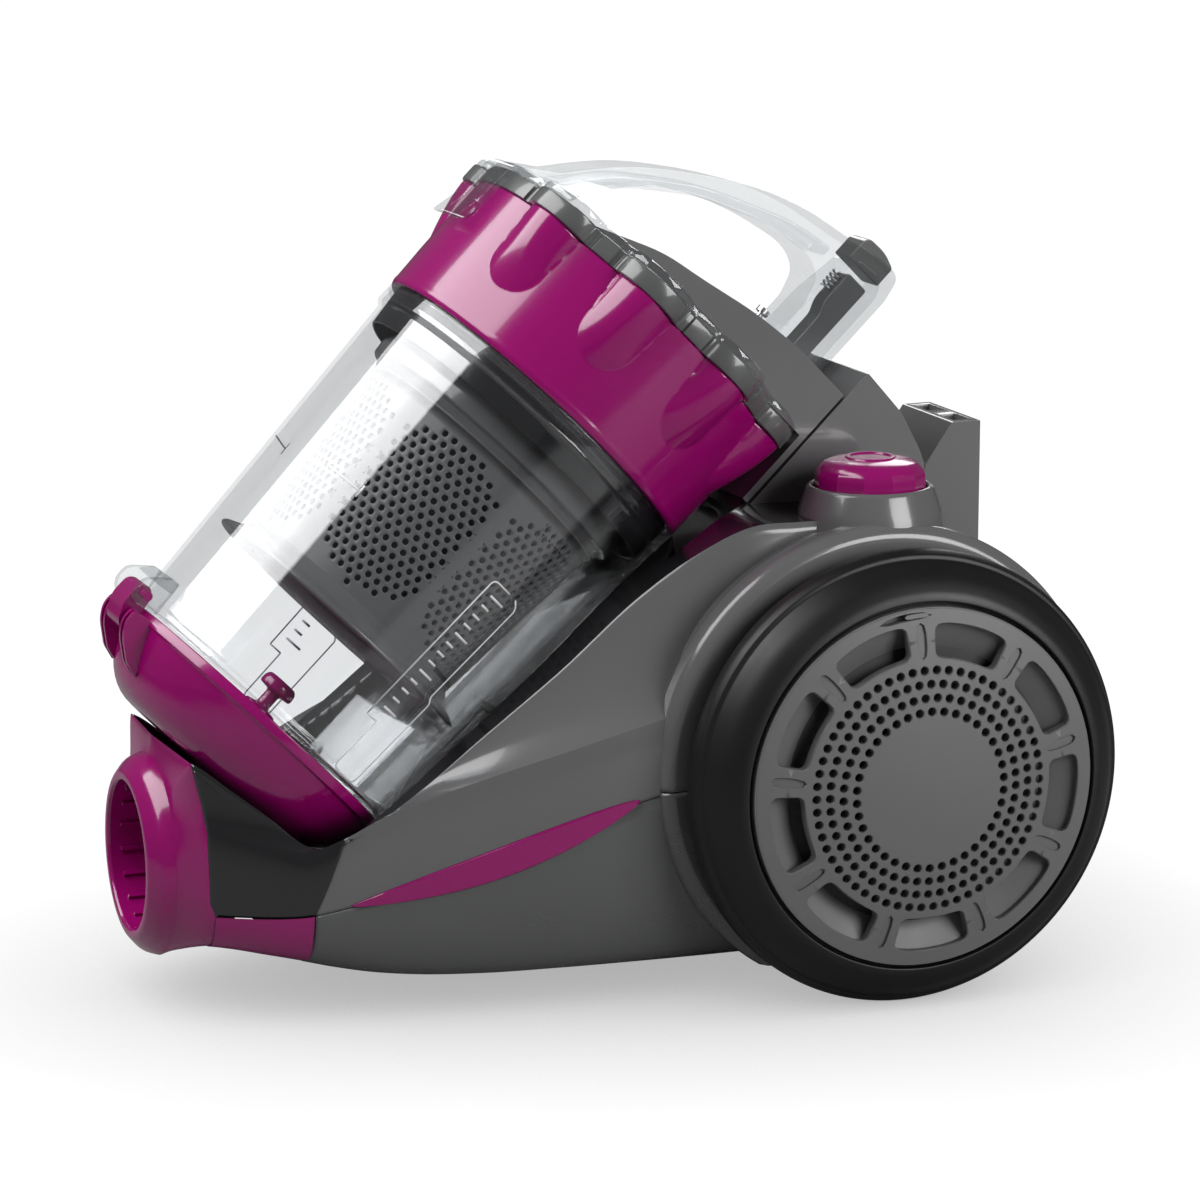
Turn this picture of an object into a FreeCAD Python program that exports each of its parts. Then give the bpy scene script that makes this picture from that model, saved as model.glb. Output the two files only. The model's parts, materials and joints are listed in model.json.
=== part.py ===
"""Canister vacuum cleaner: wheeled body, tilted see-through dust cup, carrying handle, motor, cord reel.

Frame: +X towards the hose socket, +Y the cleaner's left side, +Z up. The origin is the middle of the
footprint, on the floor. All sizes are millimetres.
"""
import FreeCAD, Part
import math
import os

V = FreeCAD.Vector

# ---- driving dimensions -------------------------------------------------------------------------
HALF_LENGTH = 211.0  # from the middle of the footprint to the rear of the tyres
SOCKET_FRONT = 204.0  # lip of the hose socket
HALF_WIDTH = 150.0  # over the two domed filter covers is twice this
TYRE_R = 100.0
AXLE_X = TYRE_R - HALF_LENGTH
AXLE_Z = TYRE_R
WALL = 2.5  # thickness of the moulded casings
FIT = 0.05  # radial clearance of a shaft in its hole
GAP = 0.4  # clearance between neighbouring bodies

# body
DRUM_R = 104.0
DRUM_X = DRUM_R - HALF_LENGTH
DRUM_Z = AXLE_Z + 4.5
DRUM_HALF = 110.0
FLOOR_GAP = 17.0  # height of the body's underside above the floor
SEAM = ((-220, 99), (-15, 99), (7, 94), (70, 75), (125, 56), (150, 50), (240, 50))  # (x, z)

# wheels and filter covers
TYRE_IN = 114.0  # inner side of the tyre, measured along Y
RIM_R = 86.0
HUB_R = 72.0
COVER_R = 78.7
COVER_T = 5.0
COVER_Y = 142.0  # outer edge of the tyre and of the cover's rim
# domed face of the cover, (radius, distance from the middle of the cleaner)
COVER_FACE = ((0, HALF_WIDTH), (31, 148.7), (56, 145.9), (73, 143.2), (77.8, COVER_Y))
HOLE_RINGS = (33.0, 38.5, 44.0, 49.5)  # radii of the four rings of air holes
HOLES_INSIDE = 8  # holes in the innermost ring
HOLE_R = 2.2
POINTER_R = 73.5  # middle of the lock pointer's slot

# hose socket
SOCKET_Z = 64.0
SOCKET_BORE = 32.5
SOCKET_R = 44.0
BORE_DEPTH = 28.0
GROOVE_R = 35.5

# dust cup, in its own frame: local z runs up the tilted axis, local x to the front
CUP_X = 144.0
CUP_Z = 123.0
CUP_TILT = 45.4
BIN_R0 = 71.0
BIN_R1 = 80.4
RING_S0 = 178.5
RING_S1 = 237.0
RIM_S1 = 246.0
COVER_S1 = 250.0
FLAP_S = -34.0  # lowest face of the bottom flap
HINGE_Q = 78.0  # flap hinge pin, from the cup's axis
HINGE_S = 4.0
GRIP_ANGLES = tuple(sign * 36 * k for k in (1, 2, 3, 4) for sign in (1, -1))
NEST = 3.5  # clearance between the dust cup and the trough that it lies in
OUTLET_Q = -90.0  # plane where the lid's air outlet meets the body

# buttons
BUTTON_X = AXLE_X - 2.0
BUTTON_Y = 76.0
BUTTON_R = 24.4
BUTTON_Z0 = 213.5
BUTTON_Z1 = 233.0
STEM_R = 5.0

# castor under the middle of the front half
CASTOR_X = 62.0
CASTOR_TRAIL = 11.0
CASTOR_R = 12.0
CASTOR_HALF = 8.0
POCKET_R = 26.0
POCKET_TOP = 32.0

# dirty-air duct from the hose socket to the bin
DUCT_HALF = 26.0
PORT_S = (41, 73)  # dirty-air port in the bin's rear wall, along the cup's axis

# casing sections: x, half width, underside, height of the side crease, height of the shoulder
STATIONS = (
    (186, 43, 34, 84, 114),
    (150, 63, 25, 77, 102),
    (114, 80, 19, 93, 100),
    (69, 95, 17, 109, 123),
    (19, 104, 17, 124, 162),
    (-31, 109, 17, 137, 200),
    (-70, 110, 17, 145, 209),
    (-109, 110, 17, 150, 208),
)

# hood and handle on the lid
DUCT_TOP = 277.0
# handle outline in the cup's middle plane, (q, s): outer side from the front, then inner side back
HANDLE_OUT = ((82, COVER_S1), (69, 258.5), (59.5, 270.5), (48, 283), (34.5, 294), (15, 307.5), (-7, 320),
              (-28.5, 327.5), (-57, 333), (-70, 337), (-80, 336.5), (-84.5, 326), (-84.5, DUCT_TOP))
HANDLE_IN = ((-55, DUCT_TOP), (-54.5, 298), (-52, 309), (-46, 312.5), (-38, 314), (-12, 308),
             (6.5, 300.5), (23.5, 292), (38, 281), (46.5, 271.5), (56, 258), (58, COVER_S1))
HANDLE_HALF = 15.0
BOSS_Q = -50.3
LEVER_Q = (-79.0, -69.0)
BUTTON_Q = (-80.0, -60.0)

# inside the drum
FILTER_X = -134.0
MOTOR_Y0 = 0.0
MOTOR_Y1 = 92.0
REEL_Y = -62.0


# ---- helpers ------------------------------------------------------------------------------------
def polygon(points):
    """Closed wire through 3-D points."""
    return Part.makePolygon([V(*p) for p in points] + [V(*points[0])])


def prism_y(points, y0, y1):
    """Polygon given as (x, z), extruded from y0 to y1."""
    face = Part.Face(polygon([(x, y0, z) for x, z in points]))
    return face.extrude(V(0, y1 - y0, 0))


def block(x0, x1, y0, y1, z0, z1):
    return Part.makeBox(x1 - x0, y1 - y0, z1 - z0, V(x0, y0, z0))


def rod(radius, start, end):
    start, end = V(*start), V(*end)
    return Part.makeCylinder(radius, (end - start).Length, start, end - start)


def pipe(outer, inner, start, end):
    return rod(outer, start, end).cut(rod(inner, start, end))


def turned(points):
    """Polygon given as (radius, height), turned about Z."""
    face = Part.Face(polygon([(r, 0, h) for r, h in points]))
    return face.revolve(V(0, 0, 0), V(0, 0, 1), 360)


def about_axle(points, side):
    """Polygon given as (radius, distance from the middle), turned about the wheel axis on one side."""
    shape = turned(points)
    shape.rotate(V(0, 0, 0), V(1, 0, 0), -90 * side)
    shape.translate(V(AXLE_X, 0, AXLE_Z))
    return shape


def cup(shape):
    """Moves a shape from the dust cup's own frame to the cleaner's."""
    shape = shape.copy()
    shape.rotate(V(0, 0, 0), V(0, 1, 0), -CUP_TILT)
    shape.translate(V(CUP_X, 0, CUP_Z))
    return shape


def cup_xz(q, s):
    """Cleaner's (x, z) of a point of the cup's middle plane."""
    tilt = math.radians(CUP_TILT)
    x = CUP_X + q * math.cos(tilt) - s * math.sin(tilt)
    z = CUP_Z + q * math.sin(tilt) + s * math.cos(tilt)
    return (x, z)


def mirrored(shape):
    return shape.mirror(V(0, 0, 0), V(0, 1, 0))


def joined(first, *others):
    return first.fuse(list(others)).removeSplitter()


def group(shapes):
    return Part.makeCompound(list(shapes))


def coil(radius, wire, height, turns, centre):
    """Helical spring standing on centre."""
    path = Part.makeHelix(height / turns, height, radius)
    ring = Part.Wire(Part.makeCircle(wire, V(radius, 0, 0), V(0, 1, 0)))
    shape = Part.Wire(path).makePipeShell([ring], True, True)
    shape.translate(V(*centre))
    return shape


# ---- casing -------------------------------------------------------------------------------------
def section(x, width, under, crease, shoulder, inset):
    half = (
        (0.0, under + inset),
        (0.70 * width - inset, under + inset),
        (0.92 * width - inset, under + 9 + inset),
        (width - inset, under + 26),
        (width - inset, crease),
        (0.80 * width - inset, shoulder - inset),
        (0.0, shoulder - inset),
    )
    right = [(x, -y, z) for y, z in reversed(half[1:-1])]
    return polygon([(x, y, z) for y, z in half] + right)


def hull(inset):
    """Outer form of the body, before the dust cup's trough is cut."""
    nose, tail = STATIONS[0], STATIONS[-1]
    wires = [section(*tail, inset)]
    wires += [section(*row, inset) for row in reversed(STATIONS[1:-1])]
    wires += [section(nose[0] - inset, *nose[1:], inset)]
    front = Part.makeLoft(wires, True, True)
    drum = rod(DRUM_R - inset, (DRUM_X, inset - DRUM_HALF, DRUM_Z), (DRUM_X, DRUM_HALF - inset, DRUM_Z))
    below = block(-HALF_LENGTH - DRUM_R, HALF_LENGTH, -HALF_WIDTH, HALF_WIDTH, -DRUM_R, FLOOR_GAP + inset)
    return front.fuse(drum).cut(below)


def trough(extra):
    """Space that the dust cup lies in, grown by extra."""
    e = NEST + extra
    body = turned((
        (0, FLAP_S - e), (BIN_R0 + 2 + e, FLAP_S - e), (BIN_R0 + 2 + e, 0), (BIN_R1 + e, RING_S0 - 16),
        (92 + e, RING_S0 - 6), (92 + e, COVER_S1 + 30), (0, COVER_S1 + 30),
    ))
    mouth = block(0, 150, -e - 76, e + 76, FLAP_S - e, COVER_S1)
    behind = block(-130, 0, -44 - extra, 44 + extra, 206 - extra, COVER_S1 + 90)
    keep = block(-130, OUTLET_Q - GAP + extra, -60, 60, 100, COVER_S1 + 90)
    return cup(body.fuse([mouth, behind.cut(keep)]))


def seam_side(above):
    """Everything above, or below, the line where the two casing halves meet."""
    far = 400 if above else -100
    line = list(SEAM)
    return prism_y(line + [(line[-1][0], far), (line[0][0], far)], -HALF_WIDTH, HALF_WIDTH)


def neck_zone(extra):
    """Region at the front that belongs to the cradle under the dust cup."""
    outline = ((143 - extra, 40), (128 - extra, 82), (114 - extra, 125), (240, 140), (240, 40))
    return prism_y(outline, -HALF_WIDTH, HALF_WIDTH)


def socket_zone(extra):
    """Region of the body's nose that is moulded with the hose socket, tongue included."""
    outline = ((143 - extra, 32 - extra), (143 - extra, 47 + extra), (165 - extra, 49 + extra),
               (177 - extra, 50 + extra), (182 - extra, 56), (182.5 - extra, 95), (187 - extra, 120),
               (240, 120), (240, 10), (172, 26 - extra))
    return prism_y(outline, -HALF_WIDTH, HALF_WIDTH)


def castor_pocket(radius, top):
    return rod(radius, (CASTOR_X, 0, FLOOR_GAP - 8), (CASTOR_X, 0, top))


def axle_bosses(radius, y0, y1):
    return [rod(radius, (AXLE_X, side * y0, AXLE_Z), (AXLE_X, side * y1, AXLE_Z)) for side in (1, -1)]


OUTER = hull(0)
INNER = hull(WALL)
NEST_CUT = trough(0)
NEST_SKIN = trough(WALL)


def lower_shell():
    skin = OUTER.cut(INNER).common(seam_side(False)).cut(NEST_SKIN)
    skin = skin.cut([neck_zone(0), socket_zone(GAP / 2), socket_collar(GAP / 2)])
    pocket = castor_pocket(POCKET_R + WALL, POCKET_TOP + WALL).common(OUTER)
    boss = rod(7, (CASTOR_X, 0, POCKET_TOP), (CASTOR_X, 0, POCKET_TOP + 10))
    skin = skin.fuse([pocket, boss]).cut(castor_pocket(POCKET_R, POCKET_TOP))
    skin = skin.cut(rod(3 + FIT, (CASTOR_X, 0, POCKET_TOP - 2), (CASTOR_X, 0, POCKET_TOP + 12)))
    skin = skin.cut(axle_bosses(HUB_R - 8, DRUM_HALF - 6, DRUM_HALF + 6))
    skin = skin.cut(side_inlay_zone(WALL * 2)).cut(cord_hole())
    return max(skin.Solids, key=lambda solid: solid.Volume)


def upper_shell():
    walls = OUTER.cut(INNER).cut(NEST_CUT)
    lining = INNER.common(NEST_SKIN).cut(NEST_CUT)
    shell = walls.fuse(lining).common(seam_side(True)).cut(neck_zone(0))
    port = cup(block(-BIN_R1 - 30, -40, -19, 19, 39, 76))
    stems = [rod(STEM_R + FIT, (BUTTON_X, y, 180), (BUTTON_X, y, 220)) for y in (BUTTON_Y, -BUTTON_Y)]
    intake = block(DRUM_X - 20, DRUM_X + 40, -26, 26, 180, 230)
    shell = shell.cut([port, intake] + stems)
    shell = shell.cut(axle_bosses(HUB_R - 8, DRUM_HALF - 6, DRUM_HALF + 6))
    shell = shell.cut(side_inlay_zone(WALL * 2)).cut(cord_hole())
    return max(shell.Solids, key=lambda solid: solid.Volume)


def cord_hole():
    """Round hole in the rear of the drum, where the mains cord leaves."""
    return rod(9, (DRUM_X - DRUM_R - 10, REEL_Y, 70), (DRUM_X - DRUM_R + 30, REEL_Y, 70))


def cord_grommet():
    start, end = (DRUM_X - DRUM_R + 1.5, REEL_Y, 70), (DRUM_X - DRUM_R + 14, REEL_Y, 70)
    collar = pipe(8.9, 5, start, end)
    return collar


def side_inlay_zone(depth):
    """Leaf-shaped tool that cuts a slot of this depth in each flank, over the seam."""
    tip, root = V(7, 0, 94), V(125, 0, 56)
    middle = (tip + root) * 0.5
    along = (root - tip).normalize()
    across = V(along.z, 0, -along.x)
    upper = Part.Arc(tip, middle + across * 7.5, root).toShape()
    lower = Part.Arc(root, middle - across * 10.0, tip).toShape()
    leaf = Part.Face(Part.Wire([upper, lower]))
    near = leaf.extrude(V(0, HALF_WIDTH, 0))
    slab = near.common(OUTER).cut(hull(depth))
    both = [solid for solid in slab.Solids]
    return group(both + [mirrored(solid) for solid in both])


def side_inlay(side):
    """Coloured leaf let into the flank."""
    slab = side_inlay_zone(WALL)
    pieces = [solid for solid in slab.Solids if solid.CenterOfMass.y * side > 40]
    return max(pieces, key=lambda solid: solid.Volume)


def front_cradle():
    """Dark neck between socket and body: its top carries the dust cup's bottom."""
    form = OUTER.common(neck_zone(-GAP / 2)).cut([NEST_CUT, socket_zone(GAP / 2), socket_collar(GAP / 2)])
    hollow = INNER.cut([NEST_SKIN, socket_zone(WALL), socket_collar(WALL)])
    form = form.cut([hollow, duct_envelope(GAP)])
    return max(form.Solids, key=lambda solid: solid.Volume)


# ---- hose socket --------------------------------------------------------------------------------
def socket_collar(extra):
    """Round outside of the hose socket, without the tongue that runs back under the neck."""
    depth = 38.5
    collar = turned((
        (0, 0), (SOCKET_R + extra, 0), (SOCKET_R + extra, 26), (SOCKET_R - 1.5 + extra, 33),
        (SOCKET_R - 6 + extra, depth), (0, depth),
    ))
    collar.rotate(V(0, 0, 0), V(0, 1, 0), 90)
    collar.translate(V(SOCKET_FRONT - depth, 0, SOCKET_Z))
    return collar


def hose_socket():
    shape = OUTER.common(socket_zone(0)).fuse(socket_collar(0))
    floor = SOCKET_FRONT - BORE_DEPTH
    bore = rod(SOCKET_BORE, (floor, 0, SOCKET_Z), (SOCKET_FRONT + 2, 0, SOCKET_Z))
    groove = rod(GROOVE_R, (floor - 6, 0, SOCKET_Z), (floor, 0, SOCKET_Z))
    throat = rod(22, (160, 0, SOCKET_Z), (SOCKET_FRONT, 0, SOCKET_Z))
    roof = SOCKET_Z + SOCKET_BORE
    catch = block(SOCKET_FRONT - 14, SOCKET_FRONT - 8, -6, 6, roof - 1, roof + 14)
    shape = shape.cut([bore, groove, throat, catch, NEST_CUT, duct_envelope(GAP)])
    return max(shape.Solids, key=lambda solid: solid.Volume)


def socket_seal():
    """Ring that sits in the groove behind the bore and bears on the end of the hose cuff."""
    start = (SOCKET_FRONT - BORE_DEPTH - 5.5, 0, SOCKET_Z)
    end = (SOCKET_FRONT - BORE_DEPTH - 1, 0, SOCKET_Z)
    return pipe(GROOVE_R, SOCKET_BORE + 0.4, start, end)


def duct_outline():
    """Side view of the dirty-air duct: from the socket, under the dust cup, up to the bin's port."""
    port = [cup_xz(OUTLET_Q + 8.8, s) for s in PORT_S]
    above = [(172, 78), (150, 60), (128, 42), (113, 37.5), (100, 46)]
    below = [(24, 105), (30, 82), (62, 54), (90, 38.5), (98, 25.5), (118, 25.5), (140, 29), (172, 47)]
    return above + port + below


def duct_envelope(grow):
    """The duct as a solid, grown by this much; a negative value gives its bore."""
    wire = polygon([(x, 0, z) for x, z in duct_outline()])
    outline = Part.Face(wire).makeOffset2D(grow) if grow else Part.Face(wire)
    solid = outline.extrude(V(0, 2 * (DUCT_HALF + grow), 0))
    solid.translate(V(0, -DUCT_HALF - grow, 0))
    return solid


def inlet_duct():
    bore = duct_envelope(-2.0)
    mouth = block(168, 180, 2 - DUCT_HALF, DUCT_HALF - 2, 51, 74)
    port = cup(block(OUTLET_Q, OUTLET_Q + 14, -15, 15, PORT_S[0] + 3, PORT_S[1] - 3))
    return duct_envelope(0).cut([bore, mouth, port])


# ---- rear of the body ---------------------------------------------------------------------------
def intake_housing():
    """Hump behind the dust cup that takes the air from the lid's outlet down to the motor."""
    front_top = cup_xz(OUTLET_Q - GAP, 292)
    front_low = cup_xz(OUTLET_Q - GAP, 208)
    outline = (front_low, front_top, (-144, 244), (-154, 225), (-159, 204), (-159, 196), (-90, 196))
    form = prism_y(outline, -41, 41)
    window = cup(block(OUTLET_Q - 30, OUTLET_Q + 5, -27, 27, 244, 272))
    seat = cup(block(OUTLET_Q - 4, OUTLET_Q + 5, -31, 31, 240, 276))
    channel = prism_y((cup_xz(OUTLET_Q - 6, 218), cup_xz(OUTLET_Q - 6, 276), (-138, 240), (-147, 218),
                       (-147, 190), (-96, 190)), -36, 36)
    return form.cut(OUTER).cut([channel, window, seat])


def intake_seal():
    frame = block(OUTLET_Q - 4, OUTLET_Q - 1.2, -31, 31, 240, 276)
    frame = frame.cut(block(OUTLET_Q - 5, OUTLET_Q + 5, -26.8, 26.8, 244.2, 271.8))
    return cup(frame)


def parking_block():
    """Rear block whose two upright slots hold the floor head's hook when the cleaner is put away."""
    form = prism_y(((-189, 120), (-189, 236.2), (-175, 236), (-162, 217.5), (-162, 120)), -27, 27)
    slots = [block(-186, -178, side * 14 - 8, side * 14 + 8, 206, 260) for side in (1, -1)]
    return form.cut(OUTER).cut(slots)


# ---- wheels, hubs, covers -----------------------------------------------------------------------
def wheel_hub(side):
    ring = about_axle((
        (HUB_R - 6, DRUM_HALF), (HUB_R, DRUM_HALF), (HUB_R, 136), (HUB_R - 6, 136),
    ), side)
    shelf = about_axle(((40, DRUM_HALF), (HUB_R - 6, DRUM_HALF), (HUB_R - 6, DRUM_HALF + 2.5),
                        (40, DRUM_HALF + 2.5)), side)
    return joined(ring, shelf)


def wheel_rim(side):
    bore = HUB_R + FIT
    return about_axle((
        (bore, TYRE_IN), (RIM_R, TYRE_IN), (RIM_R, 138), (COVER_R + 1.2, 138), (COVER_R + 1.2, 136),
        (bore, 136),
    ), side)


def tyre(side):
    return about_axle((
        (RIM_R, TYRE_IN), (94, TYRE_IN), (98, 116), (TYRE_R, 118), (TYRE_R, 123), (98.2, 127),
        (96.5, 127.5), (88, 137.5), (84, COVER_Y - 1), (COVER_R + 1.2, COVER_Y - 0.6),
        (COVER_R + 1.2, 138), (RIM_R, 138),
    ), side)


def slot_arc(radius, width, start, span, y0, y1, side):
    """Arc-shaped slot through the filter cover, angles measured from straight up."""
    ring = about_axle(((radius - width / 2, y0), (radius + width / 2, y0), (radius + width / 2, y1),
                       (radius - width / 2, y1)), side)
    reach = 2 * radius
    fan = [(AXLE_X, AXLE_Z)]
    for share in (0, 0.5, 1):
        angle = math.radians(start + span * share)
        fan.append((AXLE_X - reach * math.sin(angle), AXLE_Z + reach * math.cos(angle)))
    low, high = sorted((side * (y0 - 1), side * (y1 + 1)))
    return ring.common(prism_y(fan, low, high))


def filter_cover(side):
    """Domed cover with rings of air holes and a curved slot for the lock pointer."""
    seat = COVER_Y - COVER_T
    inside = tuple((r, y - COVER_T) for r, y in COVER_FACE[:3])
    plate = about_axle(inside + ((62, seat + 1), (62, 126), (HUB_R - 6.3, 126), (HUB_R - 6.3, seat),
                                 (COVER_R, seat), (COVER_R, COVER_Y - 1)) + COVER_FACE[::-1], side)
    holes = []
    for row, radius in enumerate(HOLE_RINGS):
        count = HOLES_INSIDE + 2 * row
        for k in range(count):
            angle = 2 * math.pi * (k + 0.5 * (row % 2)) / count
            x = AXLE_X + radius * math.cos(angle)
            z = AXLE_Z + radius * math.sin(angle)
            holes.append(rod(HOLE_R, (x, side * (seat - 1), z), (x, side * (HALF_WIDTH + 1), z)))
    holes.append(slot_arc(POINTER_R, 3.4, -16, 26, seat - 1, HALF_WIDTH, side))
    return plate.cut(holes)


def lock_pointers():
    """Fixed tabs in the covers' slots that show whether a cover is locked."""
    return group([slot_arc(POINTER_R, 2.4, -15, 9, 136, COVER_Y, side) for side in (1, -1)])


def exhaust_filters():
    return group([about_axle(((8, 115), (60, 115), (60, 125), (8, 125)), side) for side in (1, -1)])


# ---- buttons ------------------------------------------------------------------------------------
def button_bezel(side):
    ring = turned(((BUTTON_R + 0.3, 196), (33, 196), (31.5, 210), (28, 219), (BUTTON_R + 0.3, 220.5)))
    ring.translate(V(BUTTON_X, side * BUTTON_Y, 0))
    return ring.cut(OUTER)


def button(side):
    cap = turned(((0, 190), (STEM_R, 190), (STEM_R, 230), (BUTTON_R - 3, 230), (BUTTON_R - 3, BUTTON_Z0),
                  (BUTTON_R, BUTTON_Z0), (BUTTON_R, 229), (BUTTON_R - 3.5, BUTTON_Z1 - 0.5),
                  (0, BUTTON_Z1)))
    cap.translate(V(BUTTON_X, side * BUTTON_Y, 0))
    return cap


def button_springs():
    """Return springs of the two buttons, drawn at the length they have when pressed."""
    left = coil(8.0, 0.7, 14.0, 5.0, (BUTTON_X, BUTTON_Y, 209.8))
    return group([left, mirrored(left)])


def power_switch():
    return block(BUTTON_X - 12, BUTTON_X + 12, BUTTON_Y - 9, BUTTON_Y + 9, 170, 185.5)


# ---- castor -------------------------------------------------------------------------------------
def castor_fork():
    hub_x = CASTOR_X - CASTOR_TRAIL
    top = POCKET_TOP - 0.5
    disc = rod(14, (CASTOR_X - 4, 0, top - 3), (CASTOR_X - 4, 0, top))
    spindle = rod(3, (CASTOR_X, 0, top - 1), (CASTOR_X, 0, POCKET_TOP + 9))
    inner, outer = CASTOR_HALF + 0.6, CASTOR_HALF + 3
    outline = ((hub_x - 4, 8), (hub_x + 4, 8), (CASTOR_X + 4, top - 2), (hub_x - 3, top - 2))
    cheeks = [prism_y(outline, *sorted((side * inner, side * outer))) for side in (1, -1)]
    axle_hole = rod(2, (hub_x, -20, CASTOR_R), (hub_x, 20, CASTOR_R))
    return joined(disc, spindle, *cheeks).cut(axle_hole)


def castor_wheel():
    hub_x = CASTOR_X - CASTOR_TRAIL
    half = CASTOR_HALF
    wheel = turned(((2 + FIT, -half), (CASTOR_R - 1.5, -half), (CASTOR_R, 1.5 - half), (CASTOR_R, half - 1.5),
                    (CASTOR_R - 1.5, half), (2 + FIT, half)))
    wheel.rotate(V(0, 0, 0), V(1, 0, 0), -90)
    wheel.translate(V(hub_x, 0, CASTOR_R))
    return wheel


def castor_axle():
    hub_x = CASTOR_X - CASTOR_TRAIL
    end = CASTOR_HALF + 3
    return rod(2, (hub_x, -end, CASTOR_R), (hub_x, end, CASTOR_R))


# ---- motor and reel -----------------------------------------------------------------------------
def motor_line(y0, y1):
    return (DRUM_X, y0, DRUM_Z), (DRUM_X, y1, DRUM_Z)


def motor_casing():
    tube = pipe(64, 61.5, *motor_line(MOTOR_Y0, MOTOR_Y1 + 12))
    back = pipe(64, 30, *motor_line(MOTOR_Y0, MOTOR_Y0 + 3))
    front = pipe(64, 20, *motor_line(MOTOR_Y1 - 1, MOTOR_Y1 + 1.5))
    sole = FLOOR_GAP + WALL + 0.01
    foot = block(DRUM_X - 30, DRUM_X + 30, MOTOR_Y0 + 8, MOTOR_Y0 + 20, sole, DRUM_Z - 50)
    foot = foot.cut(rod(63, *motor_line(MOTOR_Y0, MOTOR_Y1)))
    return joined(tube, back, front, foot)


def motor_body():
    return pipe(46, 6, *motor_line(MOTOR_Y0 + 12, MOTOR_Y1 - 20))


def motor_mounts():
    return group([pipe(61.5, 46, *motor_line(MOTOR_Y0 + a, MOTOR_Y0 + a + 8)) for a in (14, 58)])


def motor_shaft():
    return rod(4, *motor_line(MOTOR_Y0 + 6, MOTOR_Y1 + 4))


def fan():
    hub = pipe(12, 4, *motor_line(MOTOR_Y1 - 14, MOTOR_Y1 - 2))
    plates = pipe(50, 12, *motor_line(MOTOR_Y1 - 14, MOTOR_Y1 - 12.5))
    blades = []
    for k in range(9):
        blade = block(10, 49, -0.8, 0.8, 0, 10)
        blade.rotate(V(0, 0, 0), V(0, 0, 1), 40 * k)
        blade.rotate(V(0, 0, 0), V(1, 0, 0), -90)
        blade.translate(V(DRUM_X, MOTOR_Y1 - 13, DRUM_Z))
        blades.append(blade)
    return joined(hub, plates, *blades)


def cord_reel():
    spool = pipe(34, 8 + FIT, *motor_line(REEL_Y - 20, REEL_Y + 20))
    flanges = [pipe(76, 8 + FIT, *motor_line(REEL_Y + a, REEL_Y + a + 2.5)) for a in (-20, 17.5)]
    return joined(spool, *flanges)


def reel_spindle():
    post = rod(8, *motor_line(-DRUM_HALF + WALL + 2, REEL_Y + 30))
    plate = pipe(30, 8, *motor_line(REEL_Y + 24, REEL_Y + 27))
    return joined(post, plate)


def brake_lever():
    """Rocker under the rewind button; its roller end rests on the reel's rim."""
    x = BUTTON_X
    bar = block(x - 3, x + 30, -BUTTON_Y - 8, -BUTTON_Y - 2, 185.3, 188.5)
    tip = block(x + 24, x + 30, -BUTTON_Y - 8, -BUTTON_Y - 2, 181.2, 186)
    eye = rod(5, (x + 14, -BUTTON_Y - 8, 186), (x + 14, -BUTTON_Y - 2, 186))
    return joined(bar, tip, eye).cut(rod(2 + FIT, (x + 14, -BUTTON_Y - 10, 186), (x + 14, -BUTTON_Y, 186)))


def brake_pin():
    x = BUTTON_X + 14
    return rod(2, (x, -BUTTON_Y - 12, 186), (x, -BUTTON_Y + 2, 186))


def pre_motor_filter():
    return block(FILTER_X, FILTER_X + 50, -35, 35, 188, 196)


# ---- dust cup -----------------------------------------------------------------------------------
def dust_bin():
    wall = turned((
        (BIN_R0 - 2.5, 0), (BIN_R0 + 1, 0), (BIN_R0 + 1, 4), (BIN_R0 + 0.3, 5), (BIN_R1, 168), (82.6, 170),
        (82.6, 178), (78.5, 178), (78.5, 196), (76, 196), (76, 172), (77.6, 168),
    ))
    lugs = []
    for side in (1, -1):
        outline = [(HINGE_Q - 8.5, 0), (HINGE_Q + 3, -2), (HINGE_Q + 6, 2), (HINGE_Q + 6, 8), (HINGE_Q - 4, 16),
                   (HINGE_Q - 7, 16)]
        lug = prism_y(outline, *sorted((side * 11, side * 17)))
        lugs.append(lug)
    roof = prism_y(((HINGE_Q - 8, 11), (HINGE_Q + 1, 11), (HINGE_Q - 4, 16), (HINGE_Q - 7, 16)), -17, 17)
    shape = joined(wall, roof, *lugs)
    port = block(-BIN_R1 - 10, -40, -15, 15, 42, 72)
    return cup(shape.cut([port, hinge_hole(2.0)]))


def hinge_hole(radius):
    return rod(radius, (HINGE_Q, -30, HINGE_S), (HINGE_Q, 30, HINGE_S))


def hinge_pin():
    return cup(rod(2, (HINGE_Q, -17, HINGE_S), (HINGE_Q, 17, HINGE_S)))


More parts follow.
